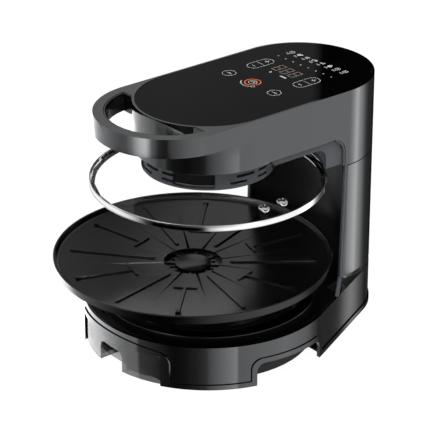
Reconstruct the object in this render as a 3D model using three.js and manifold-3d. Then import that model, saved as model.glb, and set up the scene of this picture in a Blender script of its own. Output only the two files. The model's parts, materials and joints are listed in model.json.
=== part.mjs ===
// Countertop air fryer grill: a hinged head with a fan, heater and loop handle on a rear column,
// over a round base with a lift-off grill plate, a glass lid and a drip drawer.
// Millimetres, +Z up, front towards -Y. The working axis of plate, lid and fan is the base axis.
import * as THREE from 'three';
import { mergeVertices } from 'three/addons/utils/BufferGeometryUtils.js';
import Module from 'manifold-3d';

const wasm = await Module();
wasm.setup();

// Facets for each full turn
const wideSteps = 56;
const largeSteps = 40;
const mediumSteps = 22;
const smallSteps = 12;
const tinySteps = 8;

// Driving sizes of the whole machine
const baseRadius = 134.8;
const baseHeight = 49.2;
const headRadius = 80;
const columnBack = 128;
const splitHeight = 189;
const headHeight = 85.65;
const headTop = splitHeight + headHeight;
const casingWall = 3;
const seatGap = 0.3;
const runningGap = 0.6;
const cutOverrun = 12;

// Base skirt
const beadProud = 1.3;
const beadHeight = 5.5;
const archFront = -44.5;
const archBack = 57.5;
const archFrontTop = 31;
const archBackTop = 28.6;
const archFrontCorner = 12;
const archBackCorner = 14;
const archLip = 5.5;
const frameHalfWidth = 75.5;
const frameShoulder = 40;
const frameCrown = 43.6;
const frameCorner = 14;

// Base deck, well and heater pan
const deckThickness = 3;
const deckDrop = 0.2;
const deckSlotMargin = 10.8;
const deckSlotRadius = baseRadius - deckSlotMargin;
const deckSlotWidth = 2.2;
const deckSlotAngles = [-101, -79, -17, 20, 160, 197];
const deckSlotSweep = 8;
const wellMargin = 27.8;
const wellRadius = baseRadius - wellMargin;
const wellRingFlange = 11;
const wellRingOuter = wellRadius + wellRingFlange;
const wellRingRise = 4.2;
const wellRingHeight = baseHeight + wellRingRise;
const wellRingEdge = 1.6;
const wellRingSkirt = 2.5;
const panFlangeReach = 5;
const panFlange = wellRadius + panFlangeReach;
const panFlangeThickness = 1.3;
const panWall = 1.2;
const panSlope = 13;
const panFloorRadius = wellRadius - panSlope;
const panFloorHeight = 31;

// Lower heating element
const lowerElementMargin = 23;
const lowerElementRadius = wellRadius - lowerElementMargin;
const lowerElementHeight = 42.5;
const elementTube = 6.4;
const elementGapShare = 0.07;
const lowerLegHeight = 29;

// Drain funnel
const funnelMouth = 40;
const funnelMouthHeight = 46.6;
const funnelThroat = 20;
const funnelSpoutHeight = 27.6;
const funnelWall = 2;
const funnelFlange = 30;

// Base floor, feet and screws
const floorRaise = 0.5;
const floorThickness = 2;
const floorVentLength = 34;
const floorVentWidth = 3.4;
const floorVentPitch = 9;
const floorVentCount = 6;
const floorVentBack = 84;
const footRadius = 9.5;
const footProud = 2;
const footTaper = 1;
const footSideMargin = 50.8;
const footFrontX = baseRadius - footSideMargin;
const footFrontMargin = 58.8;
const footFrontY = footFrontMargin - baseRadius;
const footBackX = 52;
const footBackY = 150;
const screwRadius = 3.2;
const screwHead = 1.1;
const screwInset = 20;

// Side grip scoops
const scoopTop = 28;
const scoopBend = 12;
const scoopBendDepth = 17.8;
const scoopBendRadius = baseRadius - scoopBendDepth;
const scoopFootDepth = 19.8;
const scoopFootRadius = baseRadius - scoopFootDepth;
const scoopWall = 2;

// Drip drawer and its rails
const drawerHalfWidth = 65;
const drawerTop = 33.5;
const drawerFoot = 0.8;
const drawerFaceInset = 0.8;
const drawerPanel = 3.5;
const trayHalfWidth = 60;
const trayBack = 27;
const trayTop = 26;
const trayWall = 2;
const pocketHalfWidth = 18.6;
const pocketTop = 24.5;
const pocketDepth = 14.5;
const pocketCorner = 7;
const railFrontMargin = 38.8;
const railFront = railFrontMargin - baseRadius;
const railHeight = 9;
const railWall = 2;
const railFlange = 8;

// Column
const trimWidth = 3;
const trimDepth = 3.5;
const trimFootFront = 120.4;
const trimHeadFront = 124;
const flareRise = 7.8;
const flareHeight = baseHeight + flareRise;
const flareFootBack = 97.3;
const flarePower = 2.4;
const flareLevels = 6;
const columnLinerWall = 2.5;
const plateSweepGap = 3;

// Power board in the column and cord gland
const boardThickness = 1.6;
const powerBoardWidth = 90;
const powerBoardLow = 62;
const powerBoardDrop = 39;
const powerBoardHigh = splitHeight - powerBoardDrop;
const powerBoardBack = 162;
const glandHeight = 24;
const glandFlange = 9.5;
const glandFlangeProud = 1;
const glandBody = 6.8;
const glandBore = 3.6;
const glandLength = 16;

// Rear hinge
const hingeBack = 203.5;
const barrelRadius = 5.5;
const pinRadius = 2.4;
const pinHeadRadius = 3.6;
const pinHeadWidth = 1.6;
const knuckleHalf = 13;
const barrelHalf = 24;
const pocketHalf = 27;
const pocketReach = 8;
const leafThickness = 2.4;
const leafHeight = 24;
const leafHalf = 23.5;

// Head casing and handle loop
const handleForward = 51;
const handleWidth = 13;
const handleOpening = headRadius - handleWidth;
const handleInsertWall = 2;
const handleTipBack = 61;
const loopHeight = 20.95;
const loopLow = headTop - loopHeight;
const drumRise = 32.5;
const drumLow = splitHeight + drumRise;
const sideRise = 34;
const sideLow = splitHeight + sideRise;
const sideCorner = 18;
const sideCornerBack = trimHeadFront - sideCorner;
const glassThickness = 3;
const glassInset = 3;
const ledgeWidth = 4;
const ledgeDepth = 3;

// Head liner under the casing
const linerRise = 26;
const linerLow = splitHeight + linerRise;
const linerInset = 3;
const linerSide = headRadius - linerInset;
const linerWall = 2.5;
const linerFront = 24;
const linerFrontCorner = 3.6;
const linerBackStart = 88;
const linerTurn = 11;
const linerFootRise = 2;
const linerFoot = splitHeight + linerFootRise;
const lidNestRadius = 125.5;
const fanChamberRise = 50.4;
const fanChamberTop = splitHeight + fanChamberRise;
const fanChamberWall = 2.4;

// Vent ring
const ventMargin = 9;
const ventRadius = headRadius - ventMargin;
const ventWall = 3;
const ventRise = 10.5;
const ventLow = splitHeight + ventRise;
const ventHeight = 21.7;
const ventHigh = ventLow + ventHeight;
const ventLip = 7;
const ventLipThickness = 2;
const lowSlotRise = 4.7;
const slotLow = ventLow + lowSlotRise;
const highSlotRise = 11.7;
const slotHigh = ventLow + highSlotRise;
const slotHeight = 2.8;
const windowRise = 2.5;
const windowLow = ventLow + windowRise;
const windowHeight = 15;
const windowHigh = windowLow + windowHeight;
const windowAngles = [-51.5, 51.5, 128.5, 231.5];
const windowSweep = 37;
const slotSectors = [-90, 0, 90, 180];
const lowSlots = [[-20, -4], [8, 21]];
const highSlots = [[-14, 4], [9, 21]];

// Heater guard
const guardWire = 2;
const guardGap = 0.4;
const guardHeight = ventLow + ventLipThickness + guardGap;
const guardRings = 3;
const guardSpokes = 6;
const guardHub = 9;

// Upper heating element and reflector
const upperElementMargin = 9.5;
const upperElementRadius = ventRadius - upperElementMargin;
const upperElementRise = 13.5;
const upperElementHeight = ventLow + upperElementRise;
const upperLegLength = 33;
const upperLegTop = upperElementHeight + upperLegLength;
const reflectorThickness = 1.2;
const reflectorGap = 0.4;
const reflectorHeight = fanChamberTop + reflectorGap;
const legClearance = 0.6;

// Fan, motor and shaft
const impellerMargin = 16;
const impellerRadius = ventRadius - impellerMargin;
const impellerGap = 3.3;
const impellerHigh = reflectorHeight - impellerGap;
const impellerDepth = 11.5;
const impellerLow = impellerHigh - impellerDepth;
const impellerDisc = 1.4;
const impellerHub = 9;
const impellerBlades = 10;
const bladeThickness = 1.4;
const bladeSweep = 34;
const bladeRoot = 15;
const shaftRadius = 3;
const shaftTip = 2;
const shaftLow = impellerLow - shaftTip;
const shaftDrop = 6.25;
const shaftHigh = headTop - shaftDrop;
const bracketRise = 5.6;
const bracketHeight = reflectorHeight + bracketRise;
const bracketPlate = 1.8;
const bracketRadius = 40;
const bracketLegs = 4;
const bracketLegWidth = 8;
const motorRadius = 31;
const motorHeight = 15.1;
const motorTop = bracketHeight + motorHeight;
const motorBell = 24;
const coolingRadius = 29;
const coolingGap = 1.7;
const coolingLow = motorTop + coolingGap;
const coolingDepth = 5;
const coolingHigh = coolingLow + coolingDepth;
const coolingHub = 9;
const coolingBlades = 7;
const coolingBladeWidth = 12;

// Temperature probe in the fan chamber
const probeRadius = 1.5;
const probeMargin = 3.4;
const probePlace = ventRadius - probeMargin;
const probeReach = 16.6;
const probeLow = reflectorHeight - probeReach;
const probeTail = 7.2;
const probeHigh = reflectorHeight + probeTail;
const probeAngle = 205;
const probeCollar = 3;

// Control board and display
const boardWidth = 112;
const boardFront = 48;
const boardEnd = 164;
const boardDrop = 16.05;
const boardHeight = headTop - boardDrop;
const touchRadius = 6;
const touchBack = 61.5;
const touchPlace = 37.5;
const displayWidth = 46;
const displayDepth = 26;
const displayBack = 112.5;
const displayOffset = -4;

// Grill plate
const plateRadius = 150;
// The rim clears the column by the same gap at every radius, lifted off or seated
const plateRimBack = 128.6;
const plateForward = plateRadius - plateRimBack;
const plateSeatRimBack = 141;
const plateSeatForward = plateRadius - plateSeatRimBack;
const plateRimTop = 101.7;
const plateSkirtLow = 90.8;
const plateSkirtInset = 3;
const plateSkirtRadius = plateRadius - plateSkirtInset;
const plateWall = 3;
const dishRim = 5.5;
const dishOuter = plateRadius - dishRim;
const dishOuterHeight = 96.8;
const dishInner = 31;
const dishInnerHeight = 90.5;
const sumpHeight = 85.6;
const sumpFloor = 2.2;
const sumpWall = 2.2;
const hubRadius = 15;
const hubHeight = 87.4;
const hubBore = 5.2;
const drainHoleRadius = 2.6;
const drainHoles = 8;
const padInnerMargin = 56;
const padInner = plateRadius - padInnerMargin;
const padOuterMargin = 22;
const padOuter = plateRadius - padOuterMargin;
const padLow = 91;
const channels = 12;
const channelStart = 29;
const channelMargin = 24;
const channelEnd = plateRadius - channelMargin;
const channelWidth = 4.6;
const channelDepth = 1.5;
const bars = 6;
const barStart = 40;
const barMargin = 16;
const barEnd = plateRadius - barMargin;
const barWidth = 4.5;
const barProud = 1.8;
const teeStart = 66;
const teeMargin = 16;
const teeEnd = plateRadius - teeMargin;
const teeStem = 4;
const teeCross = 5;
const teeSweep = 19;

// Drain cap
const capRadius = 19.6;
const capEdge = 1.2;
const capDome = 2.6;
const capStem = 4.8;
const capStemLength = 2.6;

// Glass lid
const lidRadius = 126.7;
const lidDrop = 2.8;
const lidTop = splitHeight - lidDrop;
const lidBand = 6.75;
const lidBandWall = 1.4;
const lidLipWidth = 5;
const lidLip = 1.2;
const lidGlass = 4;
const lidGasket = 0.9;
const studMargin = 19.7;
const studPlace = lidRadius - studMargin;
const studSpread = 12.2;
const studRadius = 5.75;
const studHeight = 6;
const studShank = 2.6;
const studNut = 4.6;
const studNutHeight = 1.4;

// Places that follow from the sizes above
const deckTop = baseHeight - deckDrop;
const deckLow = deckTop - deckThickness;
const floorTop = floorRaise + floorThickness;
const skirtInside = baseRadius - casingWall;
const drawerRadius = baseRadius - drawerFaceInset;
const columnTop = splitHeight;
const headLow = splitHeight + seatGap;
const cavityRadius = headRadius - casingWall;
const glassLow = headTop - glassThickness;
const ledgeLow = glassLow - seatGap - ledgeDepth;
const plateBack = -plateForward;
const plateSeatBack = -plateSeatForward;
const machineBack = columnBack + headRadius + beadProud;
const machineFront = -plateForward - plateRadius;
const centreBack = (machineBack + machineFront) / 2;

// Finishes, from what each piece is made of
function finish(color, roughness, metalness) {
  return new THREE.MeshStandardMaterial({ color, roughness, metalness });
}
const gunmetal = finish(0x56585a, 0.35, 0.55);
const slate = finish(0x5f6267, 0.5, 0.2);
const blackPlastic = finish(0x1b1b1c, 0.5, 0);
const blackGlass = finish(0x0c0c0d, 0.08, 0);
const nonStick = finish(0x232323, 0.45, 0.15);
const steel = finish(0x9a9c9e, 0.35, 1);
const chrome = finish(0xc8cacc, 0.12, 1);
const aluminium = finish(0xb4b6b8, 0.4, 1);
const clearGlass = finish(0xdfe6e6, 0.05, 0);
const smokedPlastic = finish(0x707274, 0.2, 0);
const rubber = finish(0x161616, 0.85, 0);
const circuitBoard = finish(0x1f4a33, 0.6, 0);
const elementSteel = finish(0x4a4a4b, 0.5, 0.8);

// Closed bodies: a geometry becomes a solid that can be cut, and a solid becomes a geometry again
function enclosedVolume(position, triangles) {
  const corner = (i) => new THREE.Vector3().fromArray(position, 3 * i);
  let total = 0;
  for (let i = 0; i < triangles.length; i += 3) {
    const [a, b, c] = [corner(triangles[i]), corner(triangles[i + 1]), corner(triangles[i + 2])];
    total += a.dot(b.cross(c));
  }
  return total;
}

function solid(geometry) {
  const bare = geometry.clone();
  bare.deleteAttribute('normal');
  bare.deleteAttribute('uv');
  const merged = mergeVertices(bare);
  const position = merged.getAttribute('position').array;
  const index = merged.getIndex().array;
  const triangles = [];
  for (let i = 0; i < index.length; i += 3) {
    const [a, b, c] = [index[i], index[i + 1], index[i + 2]];
    if (a !== b && b !== c && c !== a) triangles.push(a, b, c);
  }
  if (enclosedVolume(position, triangles) < 0) triangles.reverse();
  const vertProperties = new Float32Array(position);
  return new wasm.Manifold(new wasm.Mesh({ numProp: 3, vertProperties, triVerts: new Uint32Array(triangles) }));
}

function geometryOf(body) {
  const mesh = body.getMesh();
  const geometry = new THREE.BufferGeometry();
  geometry.setAttribute('position', new THREE.BufferAttribute(mesh.vertProperties, 3));
  geometry.setIndex(new THREE.BufferAttribute(mesh.triVerts, 1));
  geometry.computeVertexNormals();
  return geometry;
}

const join = (first, ...others) => others.reduce((body, other) => body.add(other), first);
const cut = (first, ...others) => others.reduce((body, other) => body.subtract(other), first);
const meet = (first, ...others) => others.reduce((body, other) => body.intersect(other), first);

// Plan and side outlines, anticlockwise
const point = (x, y) => new THREE.Vector2(x, y);
const radians = THREE.MathUtils.degToRad;
const polar = (radius, angle) => point(radius * Math.cos(radians(angle)), radius * Math.sin(radians(angle)));

function arc(x, y, radius, from, to, turnSteps) {
  const steps = Math.max(2, Math.round(Math.abs(to - from) / 360 * turnSteps));
  return Array.from({ length: steps + 1 }, (_, i) => {
    const angle = radians(from + (to - from) * i / steps);
    return point(x + radius * Math.cos(angle), y + radius * Math.sin(angle));
  });
}

const circle = (radius, turnSteps, x = 0, y = 0) => arc(x, y, radius, -90, 270, turnSteps).slice(0, -1);
const rectangle = (x0, y0, x1, y1) => [point(x0, y0), point(x1, y0), point(x1, y1), point(x0, y1)];

// A pie slice about the axis, for cutting sectors out of rings
function sector(radius, middle, sweep) {
  const reach = radius / Math.cos(radians(sweep / 2));
  return [point(0, 0), polar(reach, middle - sweep / 2), polar(reach, middle + sweep / 2)];
}

// Prisms along each axis, and bodies of revolution about Z
function prism(outline, low, high, holes = []) {
  const shape = new THREE.Shape(outline);
  holes.forEach((hole) => shape.holes.push(new THREE.Path(hole)));
  const geometry = new THREE.ExtrudeGeometry(shape, { depth: high - low, bevelEnabled: false });
  return solid(geometry.translate(0, 0, low));
}

function prismX(outline, low, high) {
  const shape = new THREE.Shape(outline);
  const geometry = new THREE.ExtrudeGeometry(shape, { depth: high - low, bevelEnabled: false });
  geometry.translate(0, 0, low);
  const turn = new THREE.Matrix4().makeBasis(
    new THREE.Vector3(0, 1, 0), new THREE.Vector3(0, 0, 1), new THREE.Vector3(1, 0, 0));
  return solid(geometry.applyMatrix4(turn));
}

function prismY(outline, low, high) {
  const shape = new THREE.Shape(outline);
  const geometry = new THREE.ExtrudeGeometry(shape, { depth: high - low, bevelEnabled: false });
  return solid(geometry.rotateX(Math.PI / 2).translate(0, high, 0));
}

function revolve(profile, turnSteps, x = 0, y = 0) {
  const points = [...profile, profile[0]].map(([radius, height]) => point(radius, height));
  const geometry = new THREE.LatheGeometry(points, turnSteps);
  return solid(geometry.rotateX(Math.PI / 2).translate(x, y, 0));
}

const post = (radius, low, high, turnSteps, x = 0, y = 0) => prism(circle(radius, turnSteps, x, y), low, high);
const pipe = (outer, inner, low, high, turnSteps, x = 0, y = 0) =>
  prism(circle(outer, turnSteps, x, y), low, high, [circle(inner, turnSteps, x, y)]);

function postX(radius, low, high, turnSteps, y, z) {
  return prismX(circle(radius, turnSteps, y, z), low, high);
}

// A skin through plan outlines that share one count of points, lowest first
function loft(levels) {
  const count = levels[0].length;
  const last = (levels.length - 1) * count;
  const position = levels.flat().flatMap((corner) => corner.toArray());
  const index = [];
  for (let level = 0; level < levels.length - 1; level += 1) {
    for (let i = 0; i < count; i += 1) {
      const [a, b] = [level * count + i, level * count + (i + 1) % count];
      index.push(a, b, b + count, a, b + count, a + count);
    }
  }
  const flat = (level) => level.map((corner) => point(corner.x, corner.y));
  for (const [a, b, c] of THREE.ShapeUtils.triangulateShape(flat(levels[0]), [])) index.push(c, b, a);
  for (const [a, b, c] of THREE.ShapeUtils.triangulateShape(flat(levels.at(-1)), [])) {
    index.push(last + a, last + b, last + c);
  }
  const geometry = new THREE.BufferGeometry();
  geometry.setAttribute('position', new THREE.Float32BufferAttribute(position, 3));
  geometry.setIndex(index);
  return solid(geometry);
}

// A round rod along a smooth line through the given points
function rod(points, radius, steps, sides) {
  const path = new THREE.CatmullRomCurve3(points);
  const section = new THREE.Shape(circle(radius, sides));
  return solid(new THREE.ExtrudeGeometry(section, { steps, bevelEnabled: false, extrudePath: path }));
}

// The machine, its moving groups and one named mesh for each piece
const machine = new THREE.Group();
machine.position.set(0, -centreBack, footProud - floorRaise);

function place(name, body, material) {
  const mesh = new THREE.Mesh(geometryOf(body), material);
  mesh.name = name;
  machine.add(mesh);
}

// Plan of the base: the round front and the column's round back under one taut outline
function hullOutline(inset) {
  const [front, back] = [baseRadius - inset, headRadius - inset];
  const lean = THREE.MathUtils.radToDeg(Math.asin((front - back) / columnBack));
  return [
    ...arc(0, 0, front, 180 - lean, 360 + lean, wideSteps),
    ...arc(0, columnBack, back, lean, 180 - lean, wideSteps),
  ];
}

// Plan of the head and column: a straight-sided outline with round ends
function headOutline(inset) {
  const radius = headRadius - inset;
  return [
    ...arc(0, 0, radius, 180, 360, largeSteps),
    ...arc(0, columnBack, radius, 0, 180, largeSteps),
  ];
}

// Side view of the grip arch, with its lip taken off by the inset
function archOutline(inset) {
  const [front, back] = [archFront + inset, archBack - inset];
  const [frontCorner, backCorner] = [archFrontCorner - inset / 2, archBackCorner - inset / 2];
  const [frontTop, backTop] = [archFrontTop - inset, archBackTop - inset];
  return [
    point(back, -cutOverrun),
    ...arc(back - backCorner, backTop - backCorner, backCorner, 0, 90, smallSteps),
    ...arc(front + frontCorner, frontTop - frontCorner, frontCorner, 90, 180, smallSteps),
    point(front, -cutOverrun),
  ];
}

// Front view of the raised frame round the drawer
function frameOutline() {
  const cornerX = frameHalfWidth - frameCorner;
  const cornerZ = frameShoulder - frameCorner;
  const crownShares = [0.75, 0.5, 0.25, 0, -0.25, -0.5, -0.75];
  const crown = crownShares.map((share) =>
    point(cornerX * share, frameCrown - (frameCrown - frameShoulder) * share * share));
  return [
    point(frameHalfWidth, 0),
    ...arc(cornerX, cornerZ, frameCorner, 0, 90, smallSteps),
    ...crown,
    ...arc(-cornerX, cornerZ, frameCorner, 90, 180, smallSteps),
    point(-frameHalfWidth, 0),
  ];
}

function drawerOpening(growth) {
  const half = drawerHalfWidth + growth;
  return rectangle(-half, -cutOverrun, half, drawerTop + growth);
}

function baseSkirt() {
  const wall = prism(hullOutline(0), 0, baseHeight, [hullOutline(casingWall)]);
  const bead = prism(hullOutline(-beadProud), 0, beadHeight, [hullOutline(casingWall)]);
  const collar = prism(hullOutline(-beadProud), 0, baseHeight, [hullOutline(casingWall)]);
  const archFrames = meet(collar, prismX(archOutline(0), -2 * baseRadius, 2 * baseRadius));
  const drawerFrame = meet(collar, prismY(frameOutline(), -2 * baseRadius, 0));
  const arches = prismX(archOutline(archLip), -2 * baseRadius, 2 * baseRadius);
  const opening = prismY(drawerOpening(seatGap), -2 * baseRadius, -baseRadius / 2);
  const inlet = prismY(circle(glandBody + seatGap, smallSteps, 0, glandHeight), columnBack, columnBack * 2);
  return cut(join(wall, bead, archFrames, drawerFrame), arches, opening, inlet);
}

function baseDeck() {
  const slab = prism(hullOutline(casingWall + seatGap), deckLow, deckTop, [circle(wellRadius + seatGap, wideSteps)]);
  const slots = deckSlotAngles.map((angle) => meet(
    pipe(deckSlotRadius + deckSlotWidth / 2, deckSlotRadius - deckSlotWidth / 2,
      deckLow - cutOverrun, deckTop + cutOverrun, wideSteps),
    prism(sector(baseRadius, angle, deckSlotSweep), deckLow - cutOverrun, deckTop + cutOverrun)));
  const cableWay = prism(rectangle(-powerBoardWidth / 2, powerBoardBack - cutOverrun,
    powerBoardWidth / 2, powerBoardBack + cutOverrun), deckLow - cutOverrun, deckTop + cutOverrun);
  return cut(slab, ...slots, cableWay);
}

function wellRing() {
  const inner = wellRadius - wellRingSkirt;
  return revolve([
    [inner, deckLow + seatGap], [wellRadius, deckLow + seatGap], [wellRadius, deckTop],
    [wellRingOuter, deckTop], [wellRingOuter, wellRingHeight - wellRingEdge],
    [wellRingOuter - wellRingEdge, wellRingHeight], [inner, wellRingHeight],
  ], wideSteps);
}

function heaterPan() {
  const flangeTop = deckLow - seatGap;
  const flangeLow = flangeTop - panFlangeThickness;
  const lip = wellRadius - wellRingSkirt - seatGap;
  const bowl = revolve([
    [funnelThroat + seatGap, panFloorHeight], [panFloorRadius, panFloorHeight], [lip, flangeLow],
    [panFlange, flangeLow], [panFlange, flangeTop], [lip - panWall, flangeTop],
    [panFloorRadius - panWall, panFloorHeight + panWall], [funnelThroat + seatGap, panFloorHeight + panWall],
  ], mediumSteps);
  const hole = post(funnelThroat + seatGap, panFloorHeight - cutOverrun, panFloorHeight + cutOverrun,
    mediumSteps, 0, plateSeatBack);
  const legHoles = elementLegs(lowerElementRadius).map((leg) =>
    post(elementTube / 2 + legClearance, panFloorHeight - cutOverrun, panFloorHeight + cutOverrun,
      smallSteps, leg.x, leg.y));
  const centre = post(funnelThroat + cutOverrun, panFloorHeight, panFloorHeight + panWall, mediumSteps);
  return cut(join(bowl, centre), hole, ...legHoles);
}

// A heating element is an open ring whose two ends turn along Z as legs at the rear, by the elbows
function elementLegs(radius) {
  return [1, -1].map((side) => polar(radius, 90 + side * 180 * elementGapShare));
}

function element(radius, height, legEnd) {
  const tube = elementTube / 2;
  const sweep = 360 * (1 - elementGapShare);
  const ring = Array.from({ length: mediumSteps + 1 }, (_, i) => {
    const spot = polar(radius, 90 + 180 * elementGapShare + sweep * i / mediumSteps);
    return new THREE.Vector3(spot.x, spot.y, height);
  });
  const legs = elementLegs(radius).map((leg) => join(
    post(tube, Math.min(height, legEnd), Math.max(height, legEnd), smallSteps, leg.x, leg.y),
    solid(new THREE.SphereGeometry(tube, tinySteps, tinySteps / 2).translate(leg.x, leg.y, height))));
  return join(rod(ring, tube, mediumSteps, tinySteps), ...legs);
}

function drainFunnel() {
  const flangeLow = panFloorHeight + panWall + seatGap;
  const flangeTop = flangeLow + funnelWall;
  const [throat, mouth] = [funnelThroat - funnelWall, funnelMouth - funnelWall];
  return revolve([
    [throat, funnelSpoutHeight], [funnelThroat, funnelSpoutHeight], [funnelThroat, flangeLow],
    [funnelFlange, flangeLow], [funnelFlange, flangeTop], [funnelThroat + funnelWall, flangeTop],
    [funnelMouth, funnelMouthHeight], [mouth, funnelMouthHeight], [throat, flangeTop],
  ], mediumSteps, 0, plateSeatBack);
}

function baseFloor() {
  const slab = prism(hullOutline(casingWall + seatGap), floorRaise, floorTop);
  const gripZone = cut(
    prismX(archOutline(0), -2 * baseRadius, 2 * baseRadius),
    post(scoopFootRadius - seatGap, -cutOverrun, baseHeight, wideSteps));
  const vents = Array.from({ length: floorVentCount }, (_, i) => {
    const middle = floorVentBack + floorVentPitch * (i - (floorVentCount - 1) / 2);
    return prism(rectangle(-floorVentLength / 2, middle - floorVentWidth / 2,
      floorVentLength / 2, middle + floorVentWidth / 2), -cutOverrun, cutOverrun);
  });
  const drawerSide = drawerHalfWidth + runningGap;
  const drawerBack = Math.sqrt((drawerRadius - drawerPanel - runningGap) ** 2 - drawerSide ** 2);
  const drawerZone = prism(rectangle(-drawerSide, -2 * baseRadius, drawerSide, -drawerBack), -cutOverrun, cutOverrun);
  return cut(slab, gripZone, drawerZone, ...vents);
}

const footPlaces = [
  [-footFrontX, footFrontY], [footFrontX, footFrontY], [footBackX, footBackY], [-footBackX, footBackY],
];

function foot(x, y) {
  return revolve([
    [0, floorRaise - footProud], [footRadius - footTaper, floorRaise - footProud],
    [footRadius, floorRaise - footProud + footTaper], [footRadius, floorRaise], [0, floorRaise],
  ], smallSteps, x, y);
}

// Each screw's head sits against the floor beside a foot
function floorScrew(x, y) {
  return post(screwRadius, floorRaise - screwHead, floorRaise, tinySteps, x - Math.sign(x) * screwInset, y);
}

function gripScoop(side) {
  const shell = revolve([
    [skirtInside - seatGap, scoopTop], [skirtInside - seatGap, scoopTop + scoopWall],
    [scoopBendRadius - scoopWall, scoopBend + scoopWall], [scoopFootRadius - scoopWall, floorTop],
    [scoopFootRadius, floorTop], [scoopBendRadius, scoopBend],
  ], wideSteps);
  const zone = prismX(archOutline(archLip / 2), Math.min(0, side * 2 * baseRadius), Math.max(0, side * 2 * baseRadius));
  return meet(shell, zone);
}

function pocketOutline(growth) {
  const half = pocketHalfWidth + growth;
  const top = pocketTop + growth;
  const corner = pocketCorner + growth;
  return [
    point(half, growth ? drawerFoot : -cutOverrun),
    ...arc(half - corner, top - corner, corner, 0, 90, smallSteps),
    ...arc(corner - half, top - corner, corner, 90, 180, smallSteps),
    point(-half, growth ? drawerFoot : -cutOverrun),
  ];
}

function dripDrawer() {
  const trayLow = floorTop + seatGap;
  const panelInner = drawerRadius - drawerPanel;
  const panel = meet(
    pipe(drawerRadius, panelInner, drawerFoot, drawerTop, wideSteps),
    prismY(rectangle(-drawerHalfWidth, 0, drawerHalfWidth, drawerTop + cutOverrun), -2 * baseRadius, 0));
  const disc = post(drawerRadius - drawerPanel / 2, 0, drawerTop, wideSteps);
  const tray = meet(
    prism(rectangle(-trayHalfWidth, -baseRadius, trayHalfWidth, trayBack), trayLow, trayTop), disc);
  const inside = meet(
    prism(rectangle(trayWall - trayHalfWidth, -baseRadius, trayHalfWidth - trayWall, trayBack - trayWall),
      trayLow + trayWall, drawerTop), post(panelInner, 0, drawerTop, wideSteps));
  const pocketBack = pocketDepth - drawerRadius;
  const pocketWalls = meet(prismY(pocketOutline(trayWall), -baseRadius, pocketBack + trayWall), disc);
  const pocket = prismY(pocketOutline(0), -2 * baseRadius, pocketBack);
  return cut(join(cut(tray, inside), panel, pocketWalls), pocket);
}

function drawerRail(side) {
  const near = trayHalfWidth + seatGap;
  const outline = [
    point(near, floorTop), point(near + railFlange, floorTop), point(near + railFlange, floorTop + railWall),
    point(near + railWall, floorTop + railWall), point(near + railWall, floorTop + railHeight),
    point(near, floorTop + railHeight),
  ].map((corner) => point(side * corner.x, corner.y));
  return prismY(side > 0 ? outline : outline.reverse(), railFront, trayBack);
}

function cordGland() {
  const back = columnBack + headRadius;
  const outline = (radius) => circle(radius, smallSteps, 0, glandHeight);
  return cut(
    join(
      prismY(outline(glandBody), back - glandLength, back + glandFlangeProud),
      prismY(outline(glandFlange), back, back + glandFlangeProud)),
    prismY(outline(glandBore), back - 2 * glandLength, back + glandLength));
}

// Front edge of the column leans back a little towards the head
function columnFront(height) {
  return trimFootFront + (trimHeadFront - trimFootFront) * (height - flareHeight) / (splitHeight - flareHeight);
}

// The column's side line in plan at one height, from just behind the front edge to the round back;
// near the foot it spreads out in a hollow curve to the taut outline of the base
function columnSide(height, setBack) {
  const rise = Math.min(1, (height - baseHeight) / (flareHeight - baseHeight));
  const spread = (1 - rise) ** flarePower;
  const lean = Math.asin((baseRadius - headRadius) / columnBack);
  const tangent = THREE.MathUtils.radToDeg(lean);
  const flankX = (y) => (baseRadius - y * Math.sin(lean)) / Math.cos(lean);
  const footBack = columnBack + headRadius * Math.sin(lean);
  const [upperStart, lowerStart] = [columnFront(height) + setBack, flareFootBack + setBack * Math.cos(lean)];
  const shares = [0, 0.25, 0.5, 0.75, 1];
  const upper = shares.map((share) => point(headRadius, THREE.MathUtils.lerp(upperStart, columnBack, share)));
  const lower = shares.map((share) => {
    const y = THREE.MathUtils.lerp(lowerStart, footBack, share);
    return point(flankX(y), y);
  });
  const turns = largeSteps / 4;
  const upperArc = arc(0, columnBack, headRadius, 0, 90, largeSteps).slice(1);
  const lowerArc = arc(0, columnBack, headRadius, tangent, 90, turns * 360 / (90 - tangent)).slice(1);
  const above = [...upper, ...upperArc];
  const below = [...lower, ...lowerArc];
  return above.map((spot, i) => spot.clone().lerp(below[i], spread));
}

const flareHeights = [
  ...Array.from({ length: flareLevels }, (_, i) => baseHeight + (flareHeight - baseHeight) * i / flareLevels),
  flareHeight, columnTop,
];

const mirrored = (outline) => outline.map((corner) => point(-corner.x, corner.y)).reverse();
const raised = (outline, height) => outline.map((corner) => new THREE.Vector3(corner.x, corner.y, height));

function columnTrim(side) {
  return loft(flareHeights.map((height) => {
    const start = columnSide(height, 0)[0];
    const end = columnSide(height, trimWidth)[0];
    const along = end.clone().sub(start).normalize();
    const inward = point(-along.y, along.x).multiplyScalar(trimDepth);
    const outline = [start, end, end.clone().add(inward), start.clone().add(inward)];
    return raised(side > 0 ? outline : mirrored(outline), height);
  }));
}

function hingePocket() {
  return prism(rectangle(-pocketHalf, hingeBack - pocketReach, pocketHalf, 2 * hingeBack),
    splitHeight - pocketReach, splitHeight + pocketReach);
}

function columnShell() {
  const skin = loft(flareHeights.map((height) => {
    const right = columnSide(height, trimWidth + seatGap);
    const inner = point(cavityRadius, right[0].y + trimWidth);
    return raised([...right, ...mirrored(right).slice(1), point(-inner.x, inner.y), inner], height);
  }));
  const cavity = prism([
    ...arc(0, columnBack, cavityRadius, 0, 180, largeSteps),
    point(-cavityRadius, 0), point(cavityRadius, 0),
  ], 0, splitHeight + cutOverrun);
  return cut(skin, cavity, hingePocket());
}

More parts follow.
